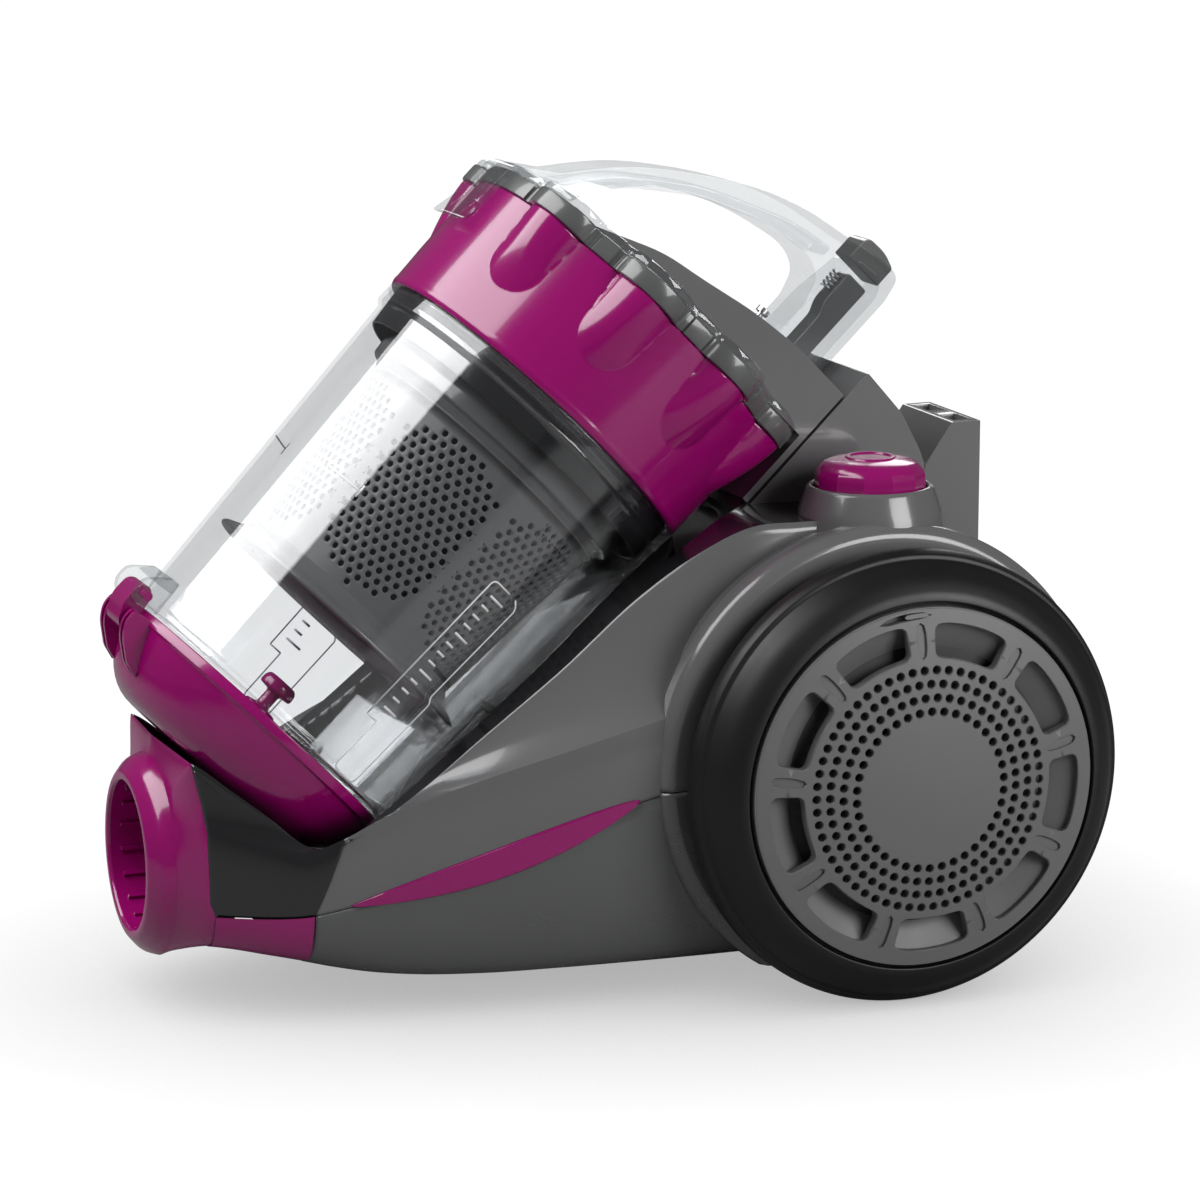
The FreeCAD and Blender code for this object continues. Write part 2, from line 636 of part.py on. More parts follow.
def bottom_flap():
    """Deep cap that closes the bin from below."""
    rim = BIN_R0 + 1.5
    outside = (
        (rim - 24.5, FLAP_S + 0.5), (rim - 17, FLAP_S + 3.8), (rim - 11, FLAP_S + 9), (rim - 5.2, FLAP_S + 18),
        (rim, -8.5), (rim, -GAP),
    )
    inside = [(r - 2.5, s + 1.2 if s < -1 else s) for r, s in outside]
    dish = turned(((0, FLAP_S), *outside, *inside[::-1], (0, FLAP_S + 2.5)))
    hollow = turned(((0, FLAP_S + 2), *inside[:-1], (rim - 2.5, -GAP), (0, -GAP)))
    arm = block(rim - 2, HINGE_Q + 3, -10.5, 10.5, -14, -GAP)
    knuckle = rod(4, (HINGE_Q, -10.5, HINGE_S), (HINGE_Q, 10.5, HINGE_S))
    web = block(HINGE_Q - 2, HINGE_Q + 3, -10.5, 10.5, -2, HINGE_S)
    fins = [
        prism_y(((rim - 14, FLAP_S + 10), (rim - 6, FLAP_S + 12), (rim + 3, -17), (rim + 6, -11), (rim + 6, -3),
                 (rim - 6, -3)), y - 1, y + 1).cut(hollow) for y in (-19, -13, 13, 19)
    ]
    return cup(joined(dish, arm, web, knuckle, *fins).cut(hinge_hole(2 + FIT)))


def flap_plate():
    """Floor of the bin, with the T-shaped post that its seal is pulled off by."""
    plate = rod(BIN_R0 - 1.1, (0, 0, -5), (0, 0, -2.2))
    stem = rod(3, (0, 0, -2.2), (0, 0, 12))
    foot = rod(8, (0, 0, -2.2), (0, 0, 3))
    head = rod(8, (0, 0, 12), (0, 0, 17))
    return cup(joined(plate, stem, foot, head))


def flap_seal():
    return cup(pipe(BIN_R0 - 1.1, BIN_R0 - 6, (0, 0, -2.2), (0, 0, -GAP / 2)))


def grip_lobe(angle, s0, s1, cone):
    """One finger grip of the lid: a half-sunk cone, or its straight continuation in the rim."""
    if cone:
        rows = ((s0, 3.0, 79.5), (s0 + 0.55 * (s1 - s0), 12.5, 77.0), (s1, 17.0, 75.0))
        wires = [Part.Wire(Part.makeCircle(r, V(c, 0, s), V(0, 0, 1))) for s, r, c in rows]
        shape = Part.makeLoft(wires, True)
    else:
        shape = rod(17.5, (75, 0, s0), (75, 0, s1))
    shape.rotate(V(0, 0, 0), V(0, 0, 1), angle)
    return shape


def lid_ring():
    body = turned(((76.5, RING_S0), (82, RING_S0), (84, RING_S1), (76.5, RING_S1)))
    body = body.fuse([grip_lobe(angle, RING_S0 + 21, RING_S1, True) for angle in GRIP_ANGLES])
    upper_bore = rod(74, (0, 0, 197), (0, 0, 300))
    return cup(body.cut([upper_bore, rod(78.6, (0, 0, 170), (0, 0, 197))]))


def lid_rim():
    body = pipe(85, 60, (0, 0, RING_S1), (0, 0, RIM_S1))
    lobes = [grip_lobe(angle, RING_S1, RIM_S1, False) for angle in GRIP_ANGLES]
    body = body.fuse(lobes)
    body = body.cut(rod(60, (0, 0, 230), (0, 0, 260)))
    clip_gap = block(40, 120, -15.4, 15.4, RING_S1 - 1, RIM_S1 + 1).cut(rod(84, (0, 0, 200), (0, 0, 300)))
    return cup(body.cut(clip_gap))


def lid_cover():
    """Clear cover over the lid, with the clip lip that hangs over its front."""
    disc = rod(80, (0, 0, RIM_S1), (0, 0, COVER_S1))
    lip = prism_y(((76, RIM_S1), (84.5, RIM_S1), (84.5, 226), (88.5, 213), (91.5, 213), (87.5, 227),
                   (87.2, 246), (84, COVER_S1), (76, COVER_S1)), -15, 15)
    hole = block(-62, 20, -30, 30, 230, 260)
    return cup(joined(disc, lip).cut(hole))




def outlet_duct():
    """Grey hood on the lid: the cleaned air leaves through its rear face."""
    outer = prism_y(((48, COVER_S1), (18, 263), (-1, 266.5), (-32, 273.5), (-59, DUCT_TOP),
                     (OUTLET_Q, DUCT_TOP), (OUTLET_Q, 212), (-86.2, 212), (-86.2, COVER_S1)), -40, 40)
    inner = prism_y(((38, COVER_S1 - 1), (17, 260), (-33, 270.5), (-60, DUCT_TOP - 3),
                     (OUTLET_Q + 3, DUCT_TOP - 3), (OUTLET_Q + 3, 240), (-83, COVER_S1 - 1)), -37, 37)
    window = block(OUTLET_Q - 5, OUTLET_Q + 8, -26, 26, 246, 272)
    lever_slot = block(LEVER_Q[0] - 1, LEVER_Q[1] + 1, -7, 7, DUCT_TOP - 5, DUCT_TOP + 5)
    ring_clearance = rod(86, (0, 0, 205), (0, 0, COVER_S1))
    return cup(outer.cut([inner, window, lever_slot, ring_clearance]))




def handle():
    """Clear arch over the lid; its rear leg is a hollow box that holds the release lever."""
    half = HANDLE_HALF
    arch = prism_y(HANDLE_OUT + HANDLE_IN, -half, half)
    hollow = prism_y(((-82, DUCT_TOP - 5), (-82, 325), (-78, 333), (-62, 331), (-57.5, 303),
                      (-57.5, DUCT_TOP - 5)), 3 - half, half - 3)
    slot = block(BUTTON_Q[0] - 0.5, BUTTON_Q[1] + 0.5, -9, 9, 321, 345)
    ledge = block(-67.5, -57, -4, 4, 308, 311)
    boss = rod(5.4, (BOSS_Q, 0, DUCT_TOP), (BOSS_Q, 0, 283))
    shape = arch.cut([hollow, slot]).fuse([ledge, boss])
    pilot = rod(1.6, (BOSS_Q, 0, 270), (BOSS_Q, 0, 290))
    head_room = rod(3.6, (BOSS_Q, 0, 283), (BOSS_Q, 0, 287))
    return cup(shape.cut([pilot, head_room]))


def release_button():
    cap = block(*BUTTON_Q, -8.6, 8.6, 326.5, 342)
    top = rod(60, (-70, -20, 281.5), (-70, 20, 281.5))
    return cup(cap.common(top))


def release_lever():
    """Bar that the button pushes down through the hood's roof, with its hook at the lower end."""
    bar = block(*LEVER_Q, -6, 6, 262, 324)
    hook = block(LEVER_Q[0] - 5, LEVER_Q[0] + 1, -6, 6, 262, 268)
    return cup(joined(bar, hook))


def release_spring():
    spring = coil(2.6, 0.5, 9.0, 4.0, (0, 0, 0))
    spring.translate(V(-64.8, 0, 312))
    return cup(spring)


def shroud():
    """Perforated cone that the air passes through on its way up."""
    wall = turned(((52.5, 60), (55, 60), (62, 146), (59.5, 146)))
    holes = []
    for row in range(5):
        for k in range(12):
            angle = math.radians(30 * k + 15 * (row % 2))
            s = 75 + 14 * row
            tip = (90 * math.cos(angle), 90 * math.sin(angle), s)
            holes.append(rod(3.0, (0, 0, s), tip))
    return cup(wall.cut(holes))


def shroud_skirt():
    return cup(turned(((20, 50), (67, 50), (67, 52.5), (55, 60), (20, 60))))


def cyclone_head():
    """Grey collar that carries the shroud and closes the bin's top, with the cyclone's inner cone."""
    collar = turned(((59.5, 146), (62.5, 146), (66, 160), (66, 178), (75.5, 190), (75.5, 194), (60, 194),
                     (60, 160)))
    cone = turned(((18, 60), (20, 60), (42, 160), (42, 191), (60, 191), (60, 194), (40, 194), (40, 160)))
    return cup(joined(collar, cone))


def lid_seal():
    return cup(pipe(75.9, 72, (0, 0, 194.05), (0, 0, 197)))


# ---- fasteners ----------------------------------------------------------------------------------
def casing_screws():
    """Screws that hold the two wheel hubs to the drum."""
    screws = []
    for k in range(6):
        angle = math.radians(60 * k)
        x = AXLE_X + (HUB_R - 16) * math.cos(angle)
        z = AXLE_Z + (HUB_R - 16) * math.sin(angle)
        face = DRUM_HALF + 2.5
        screws += [rod(3, (x, side * face, z), (x, side * (face + 2), z)) for side in (1, -1)]
    return group(screws)


def handle_screw():
    head = rod(3.2, (BOSS_Q, 0, 283), (BOSS_Q, 0, 285.4))
    shank = rod(1.55, (BOSS_Q, 0, DUCT_TOP + 0.2), (BOSS_Q, 0, 283))
    return cup(joined(head, shank))


# ---- the assembly -------------------------------------------------------------------------------
NODES = {
    "lower_shell": lower_shell,
    "upper_shell": upper_shell,
    "front_cradle": front_cradle,
    "hose_socket": hose_socket,
    "socket_seal": socket_seal,
    "intake_housing": intake_housing,
    "intake_seal": intake_seal,
    "pre_motor_filter": pre_motor_filter,
    "parking_block": parking_block,
    "power_switch": power_switch,
    "button_springs": button_springs,
    "lock_pointers": lock_pointers,
    "exhaust_filters": exhaust_filters,
    "casing_screws": casing_screws,
    "inlet_duct": inlet_duct,
    "castor_fork": castor_fork,
    "castor_wheel": castor_wheel,
    "castor_axle": castor_axle,
    "motor_casing": motor_casing,
    "motor_body": motor_body,
    "motor_mounts": motor_mounts,
    "motor_shaft": motor_shaft,
    "fan": fan,
    "cord_reel": cord_reel,
    "reel_spindle": reel_spindle,
    "brake_lever": brake_lever,
    "brake_pin": brake_pin,
    "cord_grommet": cord_grommet,
    "dust_bin": dust_bin,
    "flap_hinge_pin": hinge_pin,
    "bottom_flap": bottom_flap,
    "flap_plate": flap_plate,
    "flap_seal": flap_seal,
    "shroud": shroud,
    "shroud_skirt": shroud_skirt,
    "cyclone_head": cyclone_head,
    "lid_ring": lid_ring,
    "lid_seal": lid_seal,
    "lid_rim": lid_rim,
    "lid_cover": lid_cover,
    "outlet_duct": outlet_duct,
    "handle": handle,
    "handle_screw": handle_screw,
    "release_button": release_button,
    "release_lever": release_lever,
    "release_spring": release_spring,
}
SIDED = {
    "side_inlay": side_inlay,
    "wheel_hub": wheel_hub,
    "wheel_rim": wheel_rim,
    "tyre": tyre,
    "filter_cover": filter_cover,
    "button_bezel": button_bezel,
}

os.makedirs("parts", exist_ok=True)
shapes = {name: make() for name, make in NODES.items()}
for name, make in SIDED.items():
    shapes[name + "_left"] = make(1)
    shapes[name + "_right"] = make(-1)
shapes["power_button"] = button(1)
shapes["rewind_button"] = button(-1)
for name, shape in shapes.items():
    shape.exportStep("parts/" + name + ".step")
    size = round(shape.Volume / 1000, 2)
    print(name, "solids", len(shape.Solids), "volume", size, "valid", shape.isValid())
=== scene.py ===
# %% [markdown]
# # A canister vacuum cleaner
# The cleaner has a graphite body on two big side wheels, a tilted see-through dust cup with a magenta lid,
# and a clear carrying handle. The CAD model gives every size and every joint. This file gives it its skin:
# each visible piece is a surface that numpy works out on a grid, and each finish is a small set of shader
# nodes. The first cell opens the CAD frame.

# %% Open the frame
import json
import bmesh
import bpy
import numpy as np
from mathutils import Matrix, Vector


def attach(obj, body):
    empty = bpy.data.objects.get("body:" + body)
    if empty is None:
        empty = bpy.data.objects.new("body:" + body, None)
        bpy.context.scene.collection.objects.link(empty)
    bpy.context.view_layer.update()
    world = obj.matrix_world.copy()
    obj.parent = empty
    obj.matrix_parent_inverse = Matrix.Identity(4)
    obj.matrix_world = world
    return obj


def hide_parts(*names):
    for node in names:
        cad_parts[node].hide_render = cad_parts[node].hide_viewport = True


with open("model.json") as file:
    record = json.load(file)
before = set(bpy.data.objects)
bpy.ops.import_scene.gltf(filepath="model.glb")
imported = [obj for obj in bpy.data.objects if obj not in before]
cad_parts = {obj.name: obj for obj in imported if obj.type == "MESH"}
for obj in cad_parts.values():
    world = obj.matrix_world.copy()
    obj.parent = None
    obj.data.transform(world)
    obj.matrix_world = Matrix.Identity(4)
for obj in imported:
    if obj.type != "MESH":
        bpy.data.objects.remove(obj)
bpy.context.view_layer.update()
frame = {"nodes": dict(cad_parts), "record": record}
nodes = frame["nodes"]

# %% [markdown]
# ## Camera, light and floor
# A cleaner like this is shown from its left front, a little above. A long lens keeps the wheel round and
# the cup straight. The floor is one pale sheet, and three soft panels draw broad, clean reflections on the
# gloss.

# %% Camera
MM = 0.001
AIM = np.array([-15.93, 0.0, 160.79]) * MM
DISTANCE = 2.00862
TURN, RISE = np.radians(20.59), np.radians(11.96)
toward = np.array([np.sin(TURN) * np.cos(RISE), np.cos(TURN) * np.cos(RISE), np.sin(RISE)])
camera_data = bpy.data.cameras.new("camera")
camera_data.lens = 135.0
camera_data.sensor_width = 36.0
camera = bpy.data.objects.new("camera", camera_data)
bpy.context.scene.collection.objects.link(camera)
camera.location = Vector(AIM + DISTANCE * toward)
camera.rotation_mode = "QUATERNION"
camera.rotation_quaternion = Vector(-toward).to_track_quat("-Z", "Y")
bpy.context.scene.camera = camera
bpy.context.scene.view_settings.view_transform = "Standard"
print("camera at", [round(v, 3) for v in camera.location])


# %% Lights
def panel(name, place, aim, size, power):
    """A soft square lamp at place that faces aim; size is its two sides in metres, power is in watts."""
    data = bpy.data.lights.new(name, "AREA")
    data.shape = "RECTANGLE"
    data.size, data.size_y = size
    data.energy = power
    lamp = bpy.data.objects.new(name, data)
    bpy.context.scene.collection.objects.link(lamp)
    lamp.location = place
    lamp.rotation_mode = "QUATERNION"
    lamp.rotation_quaternion = (Vector(aim) - Vector(place)).to_track_quat("-Z", "Y")
    return lamp


CENTRE = (0.0, 0.0, 0.17)
panel("key_panel", (0.74, -0.12, 1.12), CENTRE, (1.25, 0.8), 17)
panel("side_panel", (-0.9, 1.45, 0.7), CENTRE, (0.9, 0.9), 19)
panel("back_panel", (-0.7, -1.3, 0.9), CENTRE, (0.9, 0.5), 5)
world = bpy.data.worlds.new("studio")
bpy.context.scene.world = world
world.use_nodes = True
world.node_tree.nodes["Background"].inputs["Color"].default_value = (1.0, 1.0, 1.0, 1.0)
world.node_tree.nodes["Background"].inputs["Strength"].default_value = 0.09

# %% [markdown]
# ## Shader maths as Python
# A node tree is easier to read as a formula. `Value` wraps the output of a node, and every operator on it
# adds one Math node. `Finish` owns one material: its `node` method adds any other node from its type, its
# settings and its inputs.


# %% Value and Finish
class Value:
    """A number that comes out of a node; arithmetic on it adds Math nodes to the same material."""

    def __init__(self, finish, socket):
        self.finish = finish
        self.socket = socket

    def math(self, operation, *others):
        """One Math node on this value and the others."""
        inputs = dict(enumerate((self, *others)))
        return self.finish.node("ShaderNodeMath", {"operation": operation}, inputs)

    def __add__(self, other):
        return self.math("ADD", other)

    def __sub__(self, other):
        return self.math("SUBTRACT", other)

    def __mul__(self, other):
        return self.math("MULTIPLY", other)

    def __rsub__(self, other):
        return self.finish.node("ShaderNodeMath", {"operation": "SUBTRACT"}, {0: other, 1: self})

    __radd__ = __add__
    __rmul__ = __mul__


class Finish:
    """One procedural material with a Principled shader."""

    def __init__(self, name, colour, **constants):
        self.material = bpy.data.materials.new(name)
        self.material.use_nodes = True
        self.tree = self.material.node_tree
        self.shader = self.tree.nodes["Principled BSDF"]
        self.shader.inputs["Base Color"].default_value = (*colour, 1.0)
        self.colour = colour
        for socket, value in constants.items():
            self.shader.inputs[socket.replace("_", " ")].default_value = value
        self.material.diffuse_color = (*colour, 1.0)

    def node(self, kind, settings=None, inputs=None, output=0):
        """Any node: its settings first, then each input's value or link; gives back one output."""
        made = self.tree.nodes.new(kind)
        for key, value in (settings or {}).items():
            setattr(made, key, value)
        for key, value in (inputs or {}).items():
            if isinstance(value, Value):
                self.tree.links.new(value.socket, made.inputs[key])
            else:
                made.inputs[key].default_value = value
        return Value(self, made.outputs[output])

    def place(self):
        """Object coordinates, in metres."""
        return self.node("ShaderNodeTexCoord", output="Object")

    def noise(self, scale, detail=2.0, roughness=0.5):
        """Soft noise, with scale in patches per metre."""
        inputs = {"Vector": self.place(), "Scale": scale, "Detail": detail, "Roughness": roughness}
        return self.node("ShaderNodeTexNoise", {}, inputs)

    def feed(self, socket, value):
        """Links a value into the Principled shader."""
        self.tree.links.new(value.socket, self.shader.inputs[socket])

    def tint(self, mask, other):
        """Base Color goes from the finish's colour to another one as mask goes from 0 to 1."""
        inputs = {"Factor": mask, "A": (*self.colour, 1.0), "B": (*other, 1.0)}
        self.feed("Base Color", self.node("ShaderNodeMix", {"data_type": "RGBA"}, inputs, output=2))

    def bump(self, height, distance, strength=1.0):
        """Small relief: height runs from 0 to 1 and stands for distance metres."""
        inputs = {"Height": height, "Distance": distance, "Strength": strength}
        self.feed("Normal", self.node("ShaderNodeBump", {}, inputs))


print("shader helpers ready")

# %% [markdown]
# ## Plastics
# Nearly everything here is injection-moulded ABS. A polished mould gives the gloss parts a mirror skin that
# still ripples a little over tens of millimetres, and handling leaves soft haze: slow noise in the normal,
# and a patchy roughness. A spark-eroded mould gives the filter covers a fine even grain, which takes a much
# smaller bump.


# %% Moulded plastics
def gloss_plastic(name, colour, deep, roughness, ripple=0.0004):
    """Polished ABS: slow ripple in the normal, hazy patches in the roughness, and a slightly deeper tone."""
    finish = Finish(name, colour, Coat_Weight=0.5, Coat_Roughness=0.05, IOR=1.5)
    haze = finish.noise(18.0, 3.0)
    finish.tint(haze * 0.5, deep)
    finish.feed("Roughness", haze * 0.10 + roughness + finish.noise(900.0, 1.0) * 0.02)
    finish.bump(finish.noise(45.0, 1.0), ripple, 0.25)
    return finish.material


def satin_plastic(name, colour, deep, roughness, grain):
    """Spark-eroded ABS: a fine grain in the normal over softly varied roughness."""
    finish = Finish(name, colour, IOR=1.48)
    finish.tint(finish.noise(30.0, 3.0) * 0.6, deep)
    finish.feed("Roughness", finish.noise(60.0, 2.0) * 0.12 + roughness)
    finish.bump(finish.noise(grain, 2.0, 0.6), 0.00012, 0.35)
    return finish.material


GREY = gloss_plastic("graphite_gloss", (0.150, 0.150, 0.153), (0.124, 0.124, 0.127), 0.15)
GREY_LOWER = gloss_plastic("graphite_gloss_lower", (0.112, 0.114, 0.114), (0.094, 0.096, 0.096), 0.20)
DARK = gloss_plastic("black_gloss", (0.018, 0.018, 0.020), (0.013, 0.013, 0.014), 0.15)
MAGENTA = gloss_plastic("magenta_gloss", (0.33, 0.0025, 0.150), (0.27, 0.002, 0.120), 0.12)
SATIN = satin_plastic("graphite_satin", (0.150, 0.150, 0.152), (0.130, 0.130, 0.132), 0.38, 1700.0)
INNER = satin_plastic("inner_black", (0.024, 0.024, 0.026), (0.016, 0.016, 0.017), 0.50, 1500.0)
RUBBER = satin_plastic("tyre_rubber", (0.0055, 0.0055, 0.006), (0.004, 0.004, 0.0045), 0.38, 2300.0)
PRINT = satin_plastic("white_print", (0.86, 0.87, 0.88), (0.80, 0.81, 0.82), 0.45, 900.0)
print("plastics:", [m.name for m in bpy.data.materials])

# %% [markdown]
# ## Clear plastic
# The bin, the handle and the lid's cover are clear polycarbonate. Real refraction in walls this thin bends
# almost nothing, so the finish is a mix: straight through where one looks square at the wall, and a clear
# gloss where one looks along it. Layer Weight gives that share, and the edges turn bright and a little grey
# as they should.


# %% Clear plastic, steel and foam
def clear_plastic(name, tint, gain, most):
    """Mix Shader from Transparent to a polished mirror.

    The mirror's share is gain times Layer Weight's Fresnel, and never over most: the edges stay see-through.
    """
    finish = Finish(name, (0.93, 0.935, 0.94), Metallic=1.0, Roughness=0.03)
    finish.feed("Roughness", finish.noise(25.0, 2.0) * 0.04 + 0.012)
    facing = finish.node("ShaderNodeLayerWeight", {}, {"Blend": 0.34}, output="Fresnel")
    share = (facing * gain + finish.noise(14.0, 2.0) * 0.01).math("MINIMUM", most)
    through = finish.node("ShaderNodeBsdfTransparent", {}, {"Color": (*tint, 1.0)})
    gloss = Value(finish, finish.shader.outputs[0])
    mixed = finish.node("ShaderNodeMixShader", {}, {0: share, 1: through, 2: gloss})
    finish.tree.links.new(mixed.socket, finish.tree.nodes["Material Output"].inputs["Surface"])
    return finish.material


def turned_steel(name):
    """Bright metal with fine noise in its roughness and a faint bump."""
    finish = Finish(name, (0.62, 0.62, 0.64), Metallic=1.0)
    finish.feed("Roughness", finish.noise(420.0, 3.0) * 0.2 + 0.2)
    finish.bump(finish.noise(900.0, 1.0), 0.00005, 0.3)
    return finish.material


CLEAR = clear_plastic("clear_bin", (0.975, 0.98, 0.985), 1.25, 0.13)
CLEAR_THICK = clear_plastic("clear_handle", (0.945, 0.955, 0.96), 1.6, 0.26)
STEEL = turned_steel("steel")
FOAM = satin_plastic("filter_foam", (0.045, 0.045, 0.05), (0.02, 0.02, 0.022), 0.85, 500.0)
COIL = satin_plastic("motor_core", (0.16, 0.10, 0.06), (0.09, 0.09, 0.09), 0.45, 380.0)


def pale_floor(name):
    """Camera rays see a pale glow with a painted contact shadow, but to the gloss of the cleaner it is only a
    dim grey card.
    """
    finish = Finish(name, (0.28, 0.28, 0.28), Roughness=0.7)
    seen = finish.node("ShaderNodeLightPath", output="Is Camera Ray")
    # Painted contact shadow: the AO node dims the floor's glow near the cleaner.
    near = finish.node("ShaderNodeAmbientOcclusion", {"samples": 8}, {"Distance": 0.16}, output="AO")
    shade = finish.node("ShaderNodeEmission", {}, {"Strength": near * 0.62 + 0.42})
    dim = Value(finish, finish.shader.outputs[0])
    mixed = finish.node("ShaderNodeMixShader", {}, {0: seen, 1: dim, 2: shade})
    finish.tree.links.new(mixed.socket, finish.tree.nodes["Material Output"].inputs["Surface"])
    return finish.material


FLOOR = pale_floor("pale_floor")
print("materials:", len(bpy.data.materials))

# %% [markdown]
# ## Surfaces on grids
# Three tools make nearly every piece. `rounded` softens the corners of a profile, `lathe` turns it about an
# axis, and `piece` joins grids into one mesh, closes its seams, points its faces outwards and names its
# body.


# %% Profiles and grids
def rounded(corners, steps=5, closed=False):
    """Rows of (a, b, cut): each corner becomes a parabola arc that starts and ends cut away from it.

    An arc is P(t) = (1-t)^2 (C + u cut) + 2t(1-t) C + t^2 (C + v cut), with u and v towards the neighbours.
    """
    rows = np.array(corners, float)
    point, cut = rows[:, :2], rows[:, 2:3]
    back, ahead = np.roll(point, 1, 0) - point, np.roll(point, -1, 0) - point
    back_len = np.linalg.norm(back, axis=1, keepdims=True)
    ahead_len = np.linalg.norm(ahead, axis=1, keepdims=True)
    reach = np.minimum(cut, 0.49 * np.minimum(back_len, ahead_len))
    if not closed:
        reach[[0, -1]] = 0.0
    start, end = point + back / back_len * reach, point + ahead / ahead_len * reach
    t = np.linspace(0, 1, steps)[None, :, None]
    arcs = (1 - t) ** 2 * start[:, None] + 2 * t * (1 - t) * point[:, None] + t**2 * end[:, None]
    return arcs.reshape(-1, 2)


def smooth_rows(x, known_x, known):
    """Cubic through known rows: slope at each row is that of the line between its neighbours."""
    known_x, known = np.array(known_x, float), np.array(known, float)
    slope = np.gradient(known, known_x)
    x = np.clip(x, known_x[0], known_x[-1])
    k = np.clip(np.searchsorted(known_x, x, side="right") - 1, 0, len(known_x) - 2)
    gap = known_x[k + 1] - known_x[k]
    t = (x - known_x[k]) / gap
    return (
        (2 * t**3 - 3 * t**2 + 1) * known[k]
        + (t**3 - 2 * t**2 + t) * gap * slope[k]
        + (3 * t**2 - 2 * t**3) * known[k + 1]
        + (t**3 - t**2) * gap * slope[k + 1]
    )


def grid_faces(rows, columns, wrap_rows=False, wrap_columns=False):
    """Corner numbers of the quads of a grid that is stored row by row."""
    i = np.arange(rows if wrap_rows else rows - 1)[:, None]
    j = np.arange(columns if wrap_columns else columns - 1)[None, :]
    down, right = (i + 1) % rows, (j + 1) % columns
    quads = np.stack([i * columns + j, i * columns + right, down * columns + right, down * columns + j], -1)
    return quads.reshape(-1, 4)


def sheet_grid(points, wrap_rows=False, wrap_columns=False):
    """A grid of points as (vertices, faces)."""
    return points.reshape(-1, 3), grid_faces(*points.shape[:2], wrap_rows, wrap_columns)


def lathe(profile, count=96, closed=False):
    """A profile of (radius, height) turned about the third axis: (r cos a, r sin a, h)."""
    turn = np.linspace(0, 2 * np.pi, count, endpoint=False)[:, None]
    radius, height = profile[:, 0][None], profile[:, 1][None]
    points = np.stack([radius * np.cos(turn), radius * np.sin(turn), height + 0 * turn], -1)
    return sheet_grid(points, wrap_rows=True, wrap_columns=closed)


# %% Places on the cleaner
TILT = np.radians(45.4)
CUP_FOOT = (144.0, 123.0)
AXLE = (-111.0, 100.0)
DRUM = (-107.0, 104.5)


def on_cup(points):
    """From the dust cup's own axes (to the front, left, along its tilted axis) to the cleaner's."""
    q, y, s = points[..., 0], points[..., 1], points[..., 2]
    x = CUP_FOOT[0] + q * np.cos(TILT) - s * np.sin(TILT)
    z = CUP_FOOT[1] + q * np.sin(TILT) + s * np.cos(TILT)
    return np.stack([x, y, z], -1)


def on_axle(side):
    """A mover that lays a turned shape on the wheel axis, its height pointing out to that side."""
    def move(points):
        a, b, h = points[..., 0], points[..., 1], points[..., 2]
        return np.stack([AXLE[0] + a, side * h, AXLE[1] + b], -1)
    return move


def standing(x, y):
    """A mover for a shape that is turned about an upright line."""
    return lambda points: points + np.array([x, y, 0.0])


def stay(points):
    """The mover of a piece that is drawn in the cleaner's own axes."""
    return points


# %% One piece from several grids
def piece(name, grids, body, finish, slot, stands_for=(), place=stay, angle=32, thick=0.0, bevel=0.0,
          merge=0.01):
    """Joins grids given in millimetres, merges doubles, turns faces outwards, then adds wall and bevel."""
    if name in bpy.data.objects:
        raise ValueError(name)
    offset, points, faces = 0, [], []
    for grid_points, grid in grids:
        points.append(np.asarray(grid_points, float).reshape(-1, 3))
        faces += [tuple(int(k) + offset for k in quad) for quad in grid]
        offset += len(points[-1])
    mesh = bpy.data.meshes.new(name)
    mesh.from_pydata((place(np.concatenate(points)) * MM).tolist(), [], faces)
    cleaner = bmesh.new()
    cleaner.from_mesh(mesh)
    bmesh.ops.remove_doubles(cleaner, verts=cleaner.verts, dist=merge * MM)
    bmesh.ops.dissolve_degenerate(cleaner, edges=cleaner.edges, dist=1e-6)
    bmesh.ops.recalc_face_normals(cleaner, faces=cleaner.faces)
    cleaner.to_mesh(mesh)
    cleaner.free()
    mesh.shade_smooth()
    mesh.set_sharp_from_angle(angle=np.radians(angle))
    mesh.materials.append(finish)
    made = bpy.data.objects.new(name, mesh)
    bpy.context.scene.collection.objects.link(made)
    if thick:
        wall = made.modifiers.new("wall", "SOLIDIFY")
        wall.thickness = thick * MM
        wall.offset = -1.0
    if bevel:
        edge = made.modifiers.new("edge", "BEVEL")
        edge.width = bevel * MM
        edge.segments = 3
        edge.limit_method = "ANGLE"
        edge.angle_limit = np.radians(35)
        edge.harden_normals = True
    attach(made, body)
    if stands_for:
        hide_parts(*stands_for)
    print(f"{name}: {len(mesh.polygons)} faces")
    return made


def cup_piece(name, grids, finish, slot, body="dust_cup", **rest):
    """A piece that is drawn in the dust cup's own axes."""
    return piece(name, grids, body, finish, slot, place=on_cup, **rest)


def between(first, second):
    """The solid between two matching outlines, with both ends closed by one face."""
    count = len(first)
    faces = [tuple(quad) for quad in grid_faces(2, count, wrap_columns=True)]
    faces += [tuple(range(count)), tuple(range(2 * count - 1, count - 1, -1))]
    return np.concatenate([first, second]), faces


def prism(outline, half, centre=0.0):
    """An outline in the first and third axes, drawn out along the second by half to each side of centre."""
    ends = (np.insert(np.asarray(outline, float), 1, centre + y, axis=1) for y in (-half, half))
    return between(*ends)


floor_points = np.array([[[-60, -60, 0], [-60, 60, 0]], [[60, -60, 0], [60, 60, 0]]], float)
floor_mesh = bpy.data.meshes.new("floor")
floor_mesh.from_pydata(floor_points.reshape(-1, 3).tolist(), [], [(0, 2, 3, 1)])
floor_mesh.materials.append(FLOOR)
floor = bpy.data.objects.new("floor", floor_mesh)
bpy.context.scene.collection.objects.link(floor)
print("floor laid")

